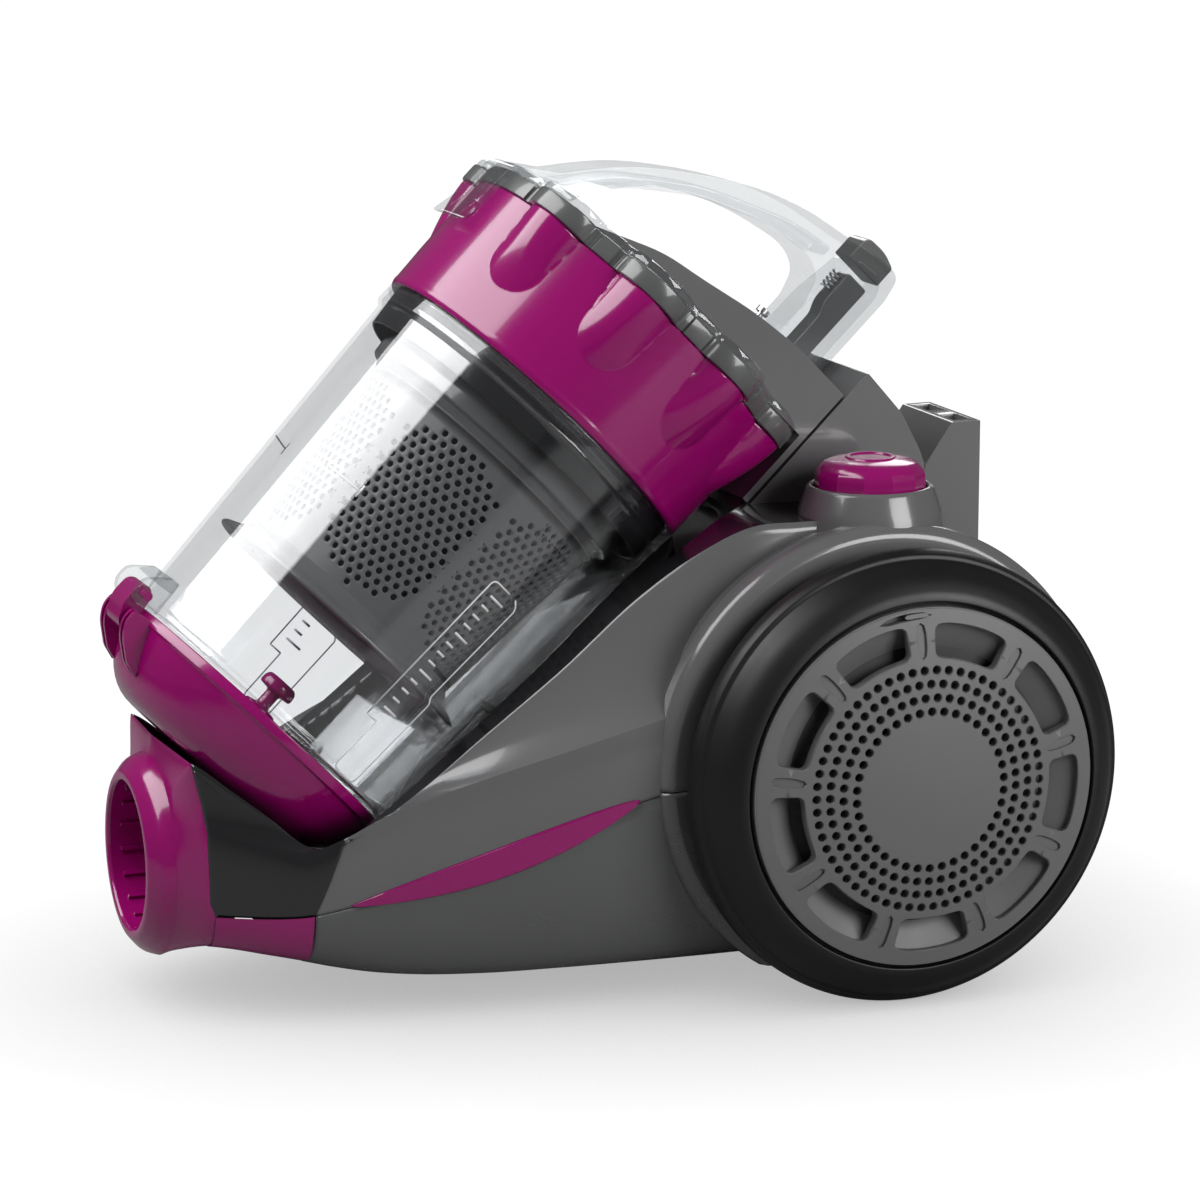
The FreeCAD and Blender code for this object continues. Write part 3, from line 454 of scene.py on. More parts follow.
# %% [markdown]
# ## Body
# The body is two glossy shells. Its side view and its width change all the way along, so each row of the
# grid is one cross-section: an inner ridge beside the dust cup, a hollow shoulder, a soft crease, a full
# flank, a seam and a flat underside. Numbers for those rows come from a short table, and a cubic runs
# smoothly between them.

# %% Cross-sections of the body
# x, ridge's half width and height, crease's half width and height, seam's height, underside
BODY_ROWS = np.array([
    (-109, 87, 207, 107.0, 150, 99, 17),
    (-75, 87, 208, 107.0, 146, 99, 17),
    (-53, 86, 207, 106.5, 142, 99, 17),
    (-32, 84, 198, 106.0, 137, 99, 17),
    (-4, 82, 180, 104.5, 130, 97, 17),
    (32, 81, 150, 101.0, 120, 86, 17),
    (69, 80, 122, 94.5, 109, 75, 17),
    (95, 79, 102, 88.0, 100, 65, 18),
    (114, 78, 89, 82.5, 92, 58, 20),
    (130, 75, 79, 77.5, 83, 53, 23),
    (143, 71, 80, 73.0, 78, 50, 26),
    (158, 65, 92, 67.0, 81, 49, 29),
    (172, 58, 103, 60.0, 84, 49, 31.5),
    (190, 48, 116, 50.0, 88, 49, 33),
    (205, 42, 118, 43.0, 88, 49, 34),
])


def section(x, t):
    """Point of the left half at x: t is 1 at the ridge, 2 at the crease, 3 at the seam, 5 in the middle.

    Each stretch is a parabola arc (1-t)^2 A + 2t(1-t) B + t^2 C between its two ends A and C.
    """
    x, t = np.broadcast_arrays(np.asarray(x, float), np.asarray(t, float))
    ridge_y, ridge_z, crease_y, crease_z, seam_z, under = (
        smooth_rows(x, BODY_ROWS[:, 0], BODY_ROWS[:, k]) for k in range(1, 7))
    ridge, crease, seam = (ridge_y, ridge_z), (crease_y, crease_z), (crease_y + 1.2, seam_z)
    low, hollow_z = (0.74 * crease_y, under), crease_z + 0.30 * (ridge_z - crease_z)
    stretches = ((ridge, (ridge_y + 0.22 * (crease_y - ridge_y), hollow_z), crease),
                 (crease, (crease_y + 2.6, 0.5 * (crease_z + seam_z)), seam),
                 (seam, (crease_y - 1.5, under + 1.0), low),
                 (low, (0.5 * low[0], under), (0.0 * low[0], under)))
    y, z = np.zeros_like(x), np.zeros_like(x)
    for k, (a, b, c) in enumerate(stretches, start=1):
        u = np.clip(t - k, 0, 1)
        inside = (t >= k) & (t <= k + 1)
        y = np.where(inside, (1 - u) ** 2 * a[0] + 2 * u * (1 - u) * b[0] + u**2 * c[0], y)
        z = np.where(inside, (1 - u) ** 2 * a[1] + 2 * u * (1 - u) * b[1] + u**2 * c[1], z)
    return np.stack([x, y, z], -1)


# Edges that run round the body, as (t, x): where the shells end at the neck, and where the socket starts.
NECK_EDGE = ((1, 116), (1.6, 121), (2, 128), (3, 141), (5, 143))
LIP_EDGE = ((0, 191), (1, 187.5), (1.5, 184), (2, 182.5), (2.85, 182), (3, 180), (5, 180))
REAR_X = -109.0
DRUM_R, DRUM_FLAT = 104.0, 17.0


def rear(t):
    """The shells' rear end, hidden in the drum."""
    return REAR_X + 0 * t


def neck(t):
    """Straight stretches through the rows of NECK_EDGE."""
    return np.interp(t, *np.array(NECK_EDGE, float).T)


def lip(t):
    """Straight stretches through the rows of LIP_EDGE."""
    return np.interp(t, *np.array(LIP_EDGE, float).T)


def flank(t0, t1, x0, x1, rows, columns):
    """Grid over the left half, from x0(t) to x1(t) and from t0 to t1."""
    t = np.linspace(t0, t1, columns)[None]
    u = np.linspace(0, 1, rows)[:, None]
    return section(x0(t) + (x1(t) - x0(t)) * u, t)


def other_side(points):
    """Mirror image in the middle plane: y becomes -y."""
    return points * np.array([1.0, -1.0, 1.0])


def across(points):
    """Left half and its mirror image as one grid that passes through the middle."""
    return np.concatenate([points, other_side(points)[:, -2::-1]], 1)


print("widest section:", section(np.array([-60.0]), np.array([2.5])).round(1))

# %% Trough that the dust cup lies in
def trough_height(x, y):
    """Lowest free height at (x, y): two tilted cylinders about the cup, cut by a plane under its foot."""
    def cylinder(radius):
        reach = np.sqrt(np.maximum(radius**2 - y**2, 0.0))
        z = CUP_FOOT[1] - (reach + (x - CUP_FOOT[0]) * np.cos(TILT)) / np.sin(TILT)
        return np.where(np.abs(y) < radius, z, 999.0)
    narrow, wide = cylinder(84.5), cylinder(96.0)
    along = (wide - CUP_FOOT[1]) * np.cos(TILT) - (x - CUP_FOOT[0]) * np.sin(TILT)
    wide = np.where(along > 165, wide, 999.0)
    foot = CUP_FOOT[1] + ((x - CUP_FOOT[0]) * np.sin(TILT) - 37.6) / np.cos(TILT)
    return np.maximum(np.minimum(narrow, wide), foot)


deck_x = np.linspace(REAR_X, 186, 240)[:, None]
deck_ridge = section(deck_x, 1.0 + 0 * deck_x)
deck_share = np.sin(np.linspace(-1, 1, 141) * np.pi / 2)[None]
deck_y = deck_ridge[..., 1] * deck_share
deck_top = deck_ridge[..., 2] + 0 * deck_y
deck_z = np.minimum(deck_top, np.maximum(trough_height(deck_x, deck_y), 24.0))
deck_grid = np.stack([deck_x + 0 * deck_y, deck_y, deck_z], -1)
piece("trough_lining", [sheet_grid(deck_grid)], "chassis", DARK, "dark", angle=40, thick=1.2)


# %% Upper and lower shell
def drum_skin(start, stop, count):
    """Rear drum with a raised rim at each side: its profile turned from start to stop degrees."""
    profile = rounded([
        (60, 110, 0), (99.5, 110, 2), (DRUM_R, 106.5, 4), (DRUM_R, 97, 2), (101.5, 94, 2), (101.5, 0, 0)])
    profile = np.concatenate([profile, (profile * np.array([1.0, -1.0]))[::-1][1:]])
    turn = np.radians(np.linspace(start, stop, count))[:, None]
    x = DRUM[0] + profile[:, 0][None] * np.cos(turn)
    z = DRUM[1] + profile[:, 0][None] * np.sin(turn)
    y = profile[:, 1][None] + 0 * x
    return np.stack([x, y, np.maximum(z, DRUM_FLAT)], -1)


shell_side = flank(1, 3, rear, neck, 150, 41)
piece("upper_shell_skin", [sheet_grid(shell_side), sheet_grid(other_side(shell_side)),
                           sheet_grid(drum_skin(-3, 183, 150))],
      "chassis", GREY, "grey", stands_for=("upper_shell",), thick=2.0)
shell_low = flank(3, 5, rear, neck, 110, 41)
piece("lower_shell_skin", [sheet_grid(across(shell_low) - np.array([0, 0, 0.5])),
                           sheet_grid(drum_skin(183.4, 356.6, 130))],
      "chassis", GREY_LOWER, "grey", stands_for=("lower_shell",), thick=2.0)

# %% [markdown]
# ## Neck and hose socket
# The neck between the shells and the socket is black and takes the cup's foot. The socket is one magenta
# moulding: a round collar for the hose cuff that flares back into the neck and sends a tongue under it. The
# flare is a blend of two outlines, the neck's section at one end and a circle at the other.

# %% Neck and socket
neck_side = flank(1, 3, neck, lip, 40, 41)
piece("neck_skin", [sheet_grid(neck_side), sheet_grid(other_side(neck_side))], "chassis", DARK, "dark",
      stands_for=("front_cradle",), thick=2.0)

SOCKET_Z, SOCKET_R, FLARE_END = 64.0, 44.5, 193.0
BORE_R, SOCKET_FRONT, TONGUE_END = 32.5, 204.0, 141.5
around = ((0, 0), (1, 44), (2, 78), (3, 110), (4, 150), (5, 180))  # t and its angle on the collar, degrees
flare_t = np.linspace(0, 5, 101)[None]
flare_u = np.linspace(0, 1, 30)[:, None]
back_edge = section(lip(flare_t), np.maximum(flare_t, 1.0))
back_edge[..., 1] *= np.clip(flare_t, 0, 1)
angle = np.radians(np.interp(flare_t, *np.array(around, float).T))
ring = np.stack([FLARE_END + 0 * angle, SOCKET_R * np.sin(angle), SOCKET_Z + SOCKET_R * np.cos(angle)], -1)
mix = (flare_u**1.4 * (1.4 - 0.4 * flare_u))[..., None]
flare = back_edge * (1 - mix) + ring * mix
flare[..., 0] = back_edge[..., 0] + (FLARE_END - back_edge[..., 0]) * flare_u
tongue_u = np.linspace(0, 1, 24)[:, None]
tongue_t = np.linspace(3, 5, 41)[None]
tongue_start = TONGUE_END + 11.0 * np.clip(tongue_t - 3.6, 0, 1) ** 2
tongue = section(tongue_start + (lip(tongue_t) - tongue_start) * tongue_u, tongue_t)
tongue = tongue + np.array([0, 0.45, -0.25])
collar = rounded([
    (24, 160, 0), (24, 174, 1), (BORE_R, 175, 1), (BORE_R, SOCKET_FRONT - 1.2, 0.8),
    (33.3, SOCKET_FRONT, 0.6), (36.4, SOCKET_FRONT, 1.4), (42.6, SOCKET_FRONT - 5.2, 3),
    (SOCKET_R, FLARE_END, 0)])


def facing_front(points):
    """Lays a turned shape on the socket's axis, its height pointing to the front."""
    return np.stack([points[..., 2], points[..., 1], SOCKET_Z + points[..., 0]], -1)


collar_points, collar_faces = lathe(collar, 120)
piece("hose_socket_skin", [sheet_grid(flare), sheet_grid(other_side(flare)), sheet_grid(across(tongue)),
                           (facing_front(collar_points), collar_faces)],
      "chassis", MAGENTA, "magenta", stands_for=("hose_socket",), angle=40, merge=0.05)


def grip_rib(turn):
    """A thin bar along the bore: its outline (radius, side) is turned by that angle from the top."""
    radius, side = np.array([[31.2, -0.9], [32.6, -0.9], [32.6, 0.9], [31.2, 0.9]]).T
    y = radius * np.sin(turn) + side * np.cos(turn)
    z = SOCKET_Z + radius * np.cos(turn) - side * np.sin(turn)
    return between(*(np.stack([x + 0 * y, y, z], -1) for x in (176.5, 198.0)))


ribs = [grip_rib(turn) for turn in np.radians(np.arange(0, 360, 20))]
piece("socket_ribs", ribs, "chassis", MAGENTA, "magenta", bevel=0.3)

# %% [markdown]
# ## Leaf inlays
# A magenta leaf lies over the seam on each flank. It follows the flank exactly, so its grid is computed by
# the same section function and then pushed out by half a millimetre, fading to nothing at the leaf's edge.

# %% Leaf inlays
LEAF_REAR, LEAF_LENGTH = 5.0, 122.0


def leaf(side):
    """Rows run along the flank; across them the height swells 8.6 mm below the middle line and 6 mm above."""
    along = np.linspace(0, 1, 90)[:, None]
    over = np.linspace(-1, 1, 25)[None]
    x = LEAF_REAR + along * LEAF_LENGTH
    swell = np.sin(np.pi * along**0.85) ** 0.75
    crest = 96.0 - along * 41.5 - 2.5 * np.sin(np.pi * along)
    target = crest - over * swell * np.where(over > 0, 8.6, 6.0)
    t_line = np.linspace(2.0, 4.0, 161)
    heights = section(x + 0 * t_line[None], t_line[None] + 0 * x)
    t = np.stack([np.interp(-target[i], -heights[i, :, 2], t_line) for i in range(len(along))])
    base = section(x + 0 * over, t)
    rise = 0.9 * np.clip((1 - np.abs(over)) * 8, 0, 1) ** 0.5 * np.clip(swell * 4, 0, 1)
    base[..., 1] += rise + 0.15
    return base if side > 0 else other_side(base)


for side, name in ((1, "left"), (-1, "right")):
    piece(f"leaf_inlay_{name}", [sheet_grid(leaf(side))], "chassis", MAGENTA, "magenta",
          stands_for=(f"side_inlay_{name}",), thick=0.8)

# %% [markdown]
# ## Wheels
# Tyre, rim and filter cover turn about one axis, so they are lathe work. The cover is more: 193 round holes
# in four rings, nine long windows, nine pill-shaped recesses and a lock slot. `pierced` cuts them. Each
# hole sits in its own cell, and rays from the cell's middle join the hole's edge to the cell's edge.

# %% Tyres
tyre_profile = rounded([
    (84, 114.5, 0), (94, 114.5, 1.5), (98.6, 116, 1.5), (100, 118, 1.2), (100, 123, 1.5),
    (98.4, 126.6, 0.8), (96.4, 127.2, 0.6), (95.2, 129.5, 1.5), (90.5, 136.2, 4), (84, 140.6, 4),
    (80.6, 141.3, 0.8), (80.1, 138, 0.3), (84, 136, 0)])
for side, name in ((1, "left"), (-1, "right")):
    piece(f"tyre_skin_{name}", [lathe(tyre_profile, 180, closed=True)], f"wheel_{name}", RUBBER, "tyre",
          stands_for=(f"tyre_{name}",), place=on_axle(side), angle=45)


# %% Pierced plates
def pierced(u0, u1, v0, v1, hole, scale, skin, depth, power=2.0, floor=False, rays=16, edge=0.35):
    """Cells [u0, u1] x [v0, v1], each with a hole in its middle; skin(u, v, d) is the point d below the face.

    A ray at angle a meets the hole |x/w|^p + |y/h|^p = 1 at (|cos a / w|^p + |sin a / h|^p)^(-1/p), and the
    cell where its longer coordinate reaches the cell's half size. scale turns u into a length.
    """
    u0, u1, v0, v1 = (np.atleast_1d(np.asarray(k, float))[:, None] for k in (u0, u1, v0, v1))
    scale = np.atleast_1d(np.asarray(scale, float))[:, None]
    half_u, half_v = (u1 - u0) / 2 * scale, (v1 - v0) / 2
    corner = np.arctan2(half_v.mean(), half_u.mean())
    base = np.linspace(0, 2 * np.pi, rays, endpoint=False)
    turn = np.sort(np.concatenate([base, [corner, np.pi - corner, np.pi + corner,
                                          2 * np.pi - corner]]))[None]
    cos, sin = np.cos(turn), np.sin(turn)
    to_cell = np.minimum(half_u / np.maximum(np.abs(cos), 1e-9), half_v / np.maximum(np.abs(sin), 1e-9))
    width, height = hole
    to_hole = (np.abs(cos / width) ** power + np.abs(sin / height) ** power) ** (-1 / power)
    rings = []
    levels_down = ((to_cell, 0.0), (to_hole + edge, 0.0), (to_hole, edge), (to_hole + 0 * to_cell, depth))
    for reach, down in levels_down:
        reach = np.minimum(reach, to_cell)
        rings.append(skin((u0 + u1) / 2 + reach * cos / scale, (v0 + v1) / 2 + reach * sin, down))
    points = np.stack([np.broadcast_to(r, (len(u0), turn.size, 3)) for r in rings], 1)
    cells, levels, count = points.shape[:3]
    one = grid_faces(levels, count, wrap_columns=True)
    faces = (one[None] + (np.arange(cells) * levels * count)[:, None, None]).reshape(-1, 4)
    faces = [tuple(f) for f in faces]
    if floor:
        faces += [tuple(range(c * levels * count + (levels - 1) * count, (c + 1) * levels * count))
                  for c in range(cells)]
    return points.reshape(-1, 3), faces


COVER_RIM, COVER_DOME, FACE_Y = 78.7, 7.8, 141.9
WINDOW_IN, WINDOW_OUT, WINDOW_MID, SLOT_OUT, SLOT_MID = 56.2, 73.0, 64.0, 78.0, 75.5
SPOKE_STEP = np.radians(40)


def cover_skin(u, v, down):
    """Face of the filter cover: u is the angle from the top towards the front, v the radius."""
    rise = COVER_DOME * (1 - (v / COVER_RIM) ** 2)
    return np.stack(np.broadcast_arrays(v * np.sin(u), v * np.cos(u), FACE_Y + rise - down), -1)


def cover_band(r0, r1, count=180, steps=2, start=0.0, stop=2 * np.pi):
    """Plain ring of the cover's face, from radius r0 to r1."""
    u = np.linspace(start, stop, count)[:, None]
    v = np.linspace(r0, r1, steps)[None]
    return sheet_grid(cover_skin(u + 0 * v, v + 0 * u, 0.0))


def filter_cover_grids():
    """From the middle outwards: plain disc, four rings of holes, spokes and windows, lock slot, rim."""
    grids = [cover_band(0.01, 31.5, 120, 6)]
    for row, (radius, count) in enumerate(((34.4, 38), (40.3, 45), (46.2, 52), (52.1, 58))):
        u = (np.arange(count) + 0.5 * (row % 2)) * 2 * np.pi / count
        half = np.pi / count
        grids.append(pierced(u - half, u + half, radius - 2.95, radius + 2.95, (1.85, 1.85), radius,
                             cover_skin, 4.0))
    grids.append(cover_band(55.05, WINDOW_IN))
    spoke, cell = np.radians(3.0) + np.arange(9) * SPOKE_STEP, np.radians(5.2)
    grids.append(pierced(spoke - cell, spoke + cell, WINDOW_IN, WINDOW_OUT, (2.0, 7.6), WINDOW_MID,
                         cover_skin, 1.3, 3.0, True, 28))
    reach = WINDOW_MID * (SPOKE_STEP / 2 - cell) - 0.5
    grids.append(pierced(spoke + cell, spoke + SPOKE_STEP - cell, WINDOW_IN, WINDOW_OUT, (reach, 7.4),
                         WINDOW_MID, cover_skin, 5.0, 7.0, False, 60, 0.5))
    slot_u, slot_half = np.radians(8.0), np.radians(11.2)
    low, high = slot_u - slot_half, slot_u + slot_half
    grids.append(pierced(low, high, WINDOW_OUT, SLOT_OUT, (SLOT_MID * slot_half - 2.5, 1.45), SLOT_MID,
                         cover_skin, 4.0, 3.0, False, 40, 0.3))
    grids.append(cover_band(WINDOW_OUT, SLOT_OUT, 170, 3, high, low + 2 * np.pi))
    rim = rounded([
        (SLOT_OUT, FACE_Y, 0), (COVER_RIM, FACE_Y, 0.6), (COVER_RIM, FACE_Y - 4.5, 0),
        (70, FACE_Y - 4.5, 0)], 4)
    back = rounded([(60.4, FACE_Y - 7.5, 0), (73.6, FACE_Y - 1.6, 0)], 2)
    return [*grids, lathe(rim, 180), lathe(back, 120)]


for side, name in ((1, "left"), (-1, "right")):
    piece(f"filter_cover_skin_{name}", filter_cover_grids(), f"cover_{name}", SATIN, "satin_grey",
          stands_for=(f"filter_cover_{name}",), place=on_axle(side), angle=30, merge=0.02)
    well = rounded([(0.01, 134.5, 0), (71.5, 134.5, 1), (71.5, 120, 0)], 3)
    piece(f"cover_well_{name}", [lathe(well, 96)], f"cover_{name}", INNER, "inner", place=on_axle(side))
    share = np.linspace(-1, 1, 25)[:, None]
    tab_width = 1.15 * np.sqrt(1 - np.abs(share) ** 7 * 0.98)
    across_tab, below_face = np.array([[-1.0, -0.8, 0.8, 1.0]]), np.array([[2.6, 0.25, 0.25, 2.6]])
    tab = cover_skin(np.radians(3.8 + 4.2 * share), SLOT_MID + tab_width * across_tab, below_face)
    piece(f"lock_tab_{name}", [sheet_grid(tab)], "chassis", SATIN, "satin_grey",
          stands_for=("lock_pointers",) if side > 0 else (), place=on_axle(side))

# %% [markdown]
# ## Bin
# The bin is a tapered clear tub with a bead at its foot and a wider collar that the lid screws on. It is
# one lathe profile with a real wall. The white print on it is a thin ribbon laid on the same cone, so that
# it curves with the wall: a plain frame with a row of ticks, and a level line.

# %% Bin and its print
def bin_radius(s):
    """Outer radius of the bin's cone at height s."""
    return 71.3 + (s - 5.5) * 0.0561


bin_wall = rounded([
    (70.4, 0.3, 0), (72.3, 0.3, 0.5), (72.6, 4.2, 0.8), (71.3, 5.8, 0.6), (80.4, 168, 1), (82.6, 170, 0.6),
    (82.6, 178, 0.4), (79.0, 178.2, 0)])
cup_piece("bin_wall", [lathe(bin_wall, 192)], CLEAR, "clear", stands_for=("dust_bin",), thick=1.8)


def ribbon(corners, width, cut=3.0, side=1):
    """A line of that width through corners given as (degrees from the front, s), laid on the bin's cone."""
    middle = 75.0
    line = rounded([(np.radians(side * a) * middle, s, cut) for a, s in corners], 7)
    line = line[np.append(True, np.linalg.norm(np.diff(line, axis=0), axis=1) > 1e-4)]
    ahead = np.gradient(line, axis=0)
    normal = np.stack([-ahead[:, 1], ahead[:, 0]], 1) / np.linalg.norm(ahead, axis=1, keepdims=True)
    across_line = line[:, None] + normal[:, None] * np.array([-0.5, 0.5])[None, :, None] * width
    turn, s = across_line[..., 0] / middle, across_line[..., 1]
    radius = bin_radius(s) + 0.12
    return sheet_grid(np.stack([radius * np.cos(turn), radius * np.sin(turn), s], -1))


def print_grids(side):
    """The frame of three lines and its ticks, on one side of the bin."""
    upper_line = [(98, 29), (98, 107), (106, 107)]
    lower_line = [(103, 29), (103, 3), (114.5, 3), (114.5, 50), (112.5, 52), (112.5, 104), (109.5, 107)]
    lines = [ribbon(upper_line, 0.75, side=side), ribbon(lower_line, 0.75, side=side),
             ribbon([(98, 29), (103, 29)], 0.75, 0.1, side)]
    ticks = [ribbon([(101.0, s), (104.5 if k % 4 else 107.5, s)], 1.1, 0.1, side)
             for k, s in enumerate(np.arange(36, 101, 5.4))]
    return lines + ticks


level_marks = [ribbon([(a, 96.0), (a + 16, 96.0)], 0.8, 0.1) for a in (30, -46)]
level_marks += [ribbon([(a, 93.0), (a, 99.0)], 0.8, 0.1) for a in (46, -46)]
cup_piece("bin_print", print_grids(1) + print_grids(-1) + level_marks, PRINT, "clear", thick=0.06)


# %% Hinge bracket
lug = rounded([
    (69.5, 0.5, 0.8), (81, -2, 1.5), (84, 2, 2), (84, 9, 3), (74, 17, 3), (71, 17, 1)], closed=True)
roof = rounded([(70.3, 11.5, 0.4), (79, 11.5, 1), (74, 17, 1.5), (71.2, 17, 0.6)], closed=True)
cup_piece("hinge_bracket", [prism(lug, 2.6, 14.2), prism(lug, 2.6, -14.2), prism(roof, 16.6)], CLEAR_THICK,
          "clear", bevel=0.6)

# %% [markdown]
# ## Bottom cap
# The cap that drops open is deep and gloss magenta. Its wall stands straight, its lower edge turns in
# tightly, and four fins at the front stiffen the hinge. A short arm reaches up between the bracket's lugs
# to the pin.

# %% Bottom cap
cap_wall = rounded([
    (0.01, -34.3, 0), (50, -34.1, 9), (62.2, -25.2, 9), (69.4, -11.5, 5), (71.8, -5.4, 0.5),
    (73.0, -4.9, 0.4), (73.0, -0.5, 0.5), (70.2, -0.5, 0.4), (67.4, -10, 5), (60, -24, 6), (49, -31.5, 6),
    (0.01, -31.8, 0)])
fin = rounded([
    (59, -25, 0.3), (66, -23, 1.5), (75.2, -16, 3), (79, -10, 3), (79, -4, 1.6),
    (68, -3, 0.3)], closed=True)
arm = rounded([
    (70, -14, 0.5), (78, -13, 3), (82.5, -4, 3), (82.3, 5.5, 4), (78, 8.3, 3.6), (74, 5, 2),
    (73.4, -1, 0.5), (70, -1, 0.3)], closed=True)
cap_grids = [lathe(cap_wall, 160), prism(arm, 10.2)] + [prism(fin, 1.1, y) for y in (-19, -13.4, 13.4, 19)]
cup_piece("bottom_cap", cap_grids, MAGENTA, "magenta", body="bottom_flap", stands_for=("bottom_flap",),
          bevel=0.35)
post = rounded([
    (0.01, 17.5, 0), (7.0, 17.5, 1.6), (8.4, 15, 1.2), (8.4, 11.5, 1.2), (3.2, 11, 1.2), (3.2, 3.5, 1.2),
    (8, 2.6, 1), (8.6, -2.0, 0.4), (66, -2.1, 0.4), (66, -4.6, 0.4), (0.01, -4.6, 0)])
cup_piece("bin_floor", [lathe(post, 96)], MAGENTA, "magenta", body="bottom_flap",
          stands_for=("flap_plate",))

# %% [markdown]
# ## Cyclone
# Inside the bin hangs a perforated shroud with a flared skirt, under a collar. The sieve's holes are real.
# They lie in staggered rows, in panels with pointed ends, and the strips between the panels stay closed.

# %% Shroud
def shroud_skin(u, v, down):
    """Cone of the sieve: u is the angle from the front, v the height, down the depth below its face."""
    radius = 55.0 + (v - 60.0) * 0.0814 - down
    return np.stack(np.broadcast_arrays(radius * np.cos(u), radius * np.sin(u), v + 0 * u), -1)


ROWS, COLUMNS, FIRST, PITCH = 20, 72, 63.0, 4.15
row, column = (k.reshape(-1) for k in np.meshgrid(np.arange(ROWS), np.arange(COLUMNS), indexing="ij"))
cell_u = (column + 0.5 * (row % 2)) * 2 * np.pi / COLUMNS
cell_v = FIRST + (row + 0.5) * PITCH
from_middle = np.abs((np.degrees(cell_u) + 30) % 60 - 30)
open_cell = (from_middle < 25.5) & (np.abs(cell_v - 104.0) < 40.5 - 0.42 * from_middle)
half_u = np.pi / COLUMNS


def open_cells():
    """Cells with a round hole of radius 1.5."""
    u, v = cell_u[open_cell], cell_v[open_cell]
    return pierced(u - half_u, u + half_u, v - PITCH / 2, v + PITCH / 2, (1.5, 1.5), 58.0, shroud_skin, 1.4,
                   rays=8, edge=0.12)


def closed_cells():
    """Plain quads for the cells between the panels of holes."""
    u, v = cell_u[~open_cell][:, None], cell_v[~open_cell][:, None]
    corner_u = u + np.array([-1, 1, 1, -1]) * half_u
    corner_v = v + np.array([-1, -1, 1, 1]) * PITCH / 2
    points = shroud_skin(corner_u, corner_v, 0.0).reshape(-1, 3)
    return points, np.arange(len(points)).reshape(-1, 4)


shroud_ends = [lathe(rounded([(55.0, 59.5, 0), (55.25, 63.0, 0)], 2), 144),
               lathe(rounded([(62.0, 146.0, 0), (63.2, 146.2, 0.5), (63.2, 151, 0)], 3), 144)]
cup_piece("shroud_sieve", [open_cells(), closed_cells(), *shroud_ends], SATIN, "grey",
          stands_for=("shroud",), angle=50, merge=0.02)
core = rounded([(52.4, 61, 0), (58.6, 145, 0)], 2)
cup_piece("shroud_core", [lathe(core, 72)], INNER, "inner", thick=0.5)

# %% Skirt and collar
skirt = rounded([
    (53, 64, 0), (55.6, 61.5, 1.5), (59, 56.5, 3), (66.8, 53.2, 1), (67.6, 51.6, 0.8), (66.2, 50.4, 0.8),
    (57, 52.5, 3), (50, 57, 0.5), (50, 62, 0)])
cup_piece("shroud_skirt_skin", [lathe(skirt, 144)], GREY, "grey", stands_for=("shroud_skirt",))
head = rounded([
    (58.5, 146, 0), (62.6, 146, 0.6), (65.2, 150.5, 0.8), (68.0, 151.5, 0.8), (68.6, 158, 1.5),
    (66.4, 162, 1.5), (66.4, 176, 3), (75.4, 186, 1), (75.4, 194, 0.4), (60, 194, 0.4), (59, 162, 0)])
cup_piece("cyclone_collar", [lathe(head, 144)], GREY, "grey", stands_for=("cyclone_head",))
band = rounded([(76.6, 160, 0), (77.2, 160.4, 0.3), (78.9, 177.6, 0.3), (76.8, 178.0, 0)], 4)
cup_piece("bin_top_band", [lathe(band, 144)], DARK, "dark", thick=0.8)

# %% [markdown]
# ## Lid
# The magenta ring has eight teardrop grips, 36 degrees apart, that swell towards the top. The radius of the
# ring is a function of angle and height: a plain cone, plus a tent over each grip that starts at a rounded
# foot. The grey rim and the clear cover above follow the same outline.

# %% Magenta ring
GRIPS = np.array([36, 72, 108, 144, -36, -72, -108, -144.0])
GRIP_FOOT, RING_TOP = 199.7, 237.0


def off_grip(turn):
    """Angle to the nearest grip, in degrees."""
    gap = (turn[..., None] - GRIPS + 180) % 360 - 180
    return np.take_along_axis(gap, np.abs(gap).argmin(-1)[..., None], -1)[..., 0]


def grip_rise(turn, s):
    """Tent of height h(s) over half width w(s): h (1 - |gap/w|^1.7)^0.8, with a round foot at GRIP_FOOT."""
    climb = np.clip((s - GRIP_FOOT) / (RING_TOP - GRIP_FOOT), 0, 1)
    foot = np.clip((s - GRIP_FOOT) / 13.0, 1e-6, 1)
    width = 10.4 * np.sqrt(1 - (1 - foot) ** 2) * (0.82 + 0.18 * climb)
    height = 9.6 * (1 - (1 - climb) ** 1.6)
    return height * np.maximum(1 - np.abs(off_grip(turn) / width) ** 1.7, 0) ** 0.8


ring_side = rounded([
    (78.7, 179.4, 0), (80.3, 178.4, 0.5), (82.4, 178.6, 0.8), (83.2, 181, 0.8), (83.0, 183, 0.5),
    (83.6, 199, 1)], 4)
upper = np.stack([np.linspace(83.6, 84.2, 44)[1:], np.linspace(199, 236.4, 44)[1:]], 1)
ring_profile = np.concatenate([ring_side, upper, [[83.6, 237.0], [76.6, 237.0], [76.6, 196.0],
                                                  [78.7, 196.0], [78.7, 179.4]]])
ring_turn = np.linspace(0, 360, 720, endpoint=False)[:, None]
ring_r, ring_s = ring_profile[:, 0][None], ring_profile[:, 1][None]
outside = (ring_r > 82) & (ring_s > GRIP_FOOT - 1)
ring_radius = ring_r + np.where(outside, grip_rise(ring_turn, ring_s), 0.0)


def around_cup(turn, radius, s):
    """Point at turn degrees from the front, at that radius and height: (r cos a, r sin a, s)."""
    a = np.radians(turn)
    return np.stack(np.broadcast_arrays(radius * np.cos(a), radius * np.sin(a), s + 0 * a), -1)


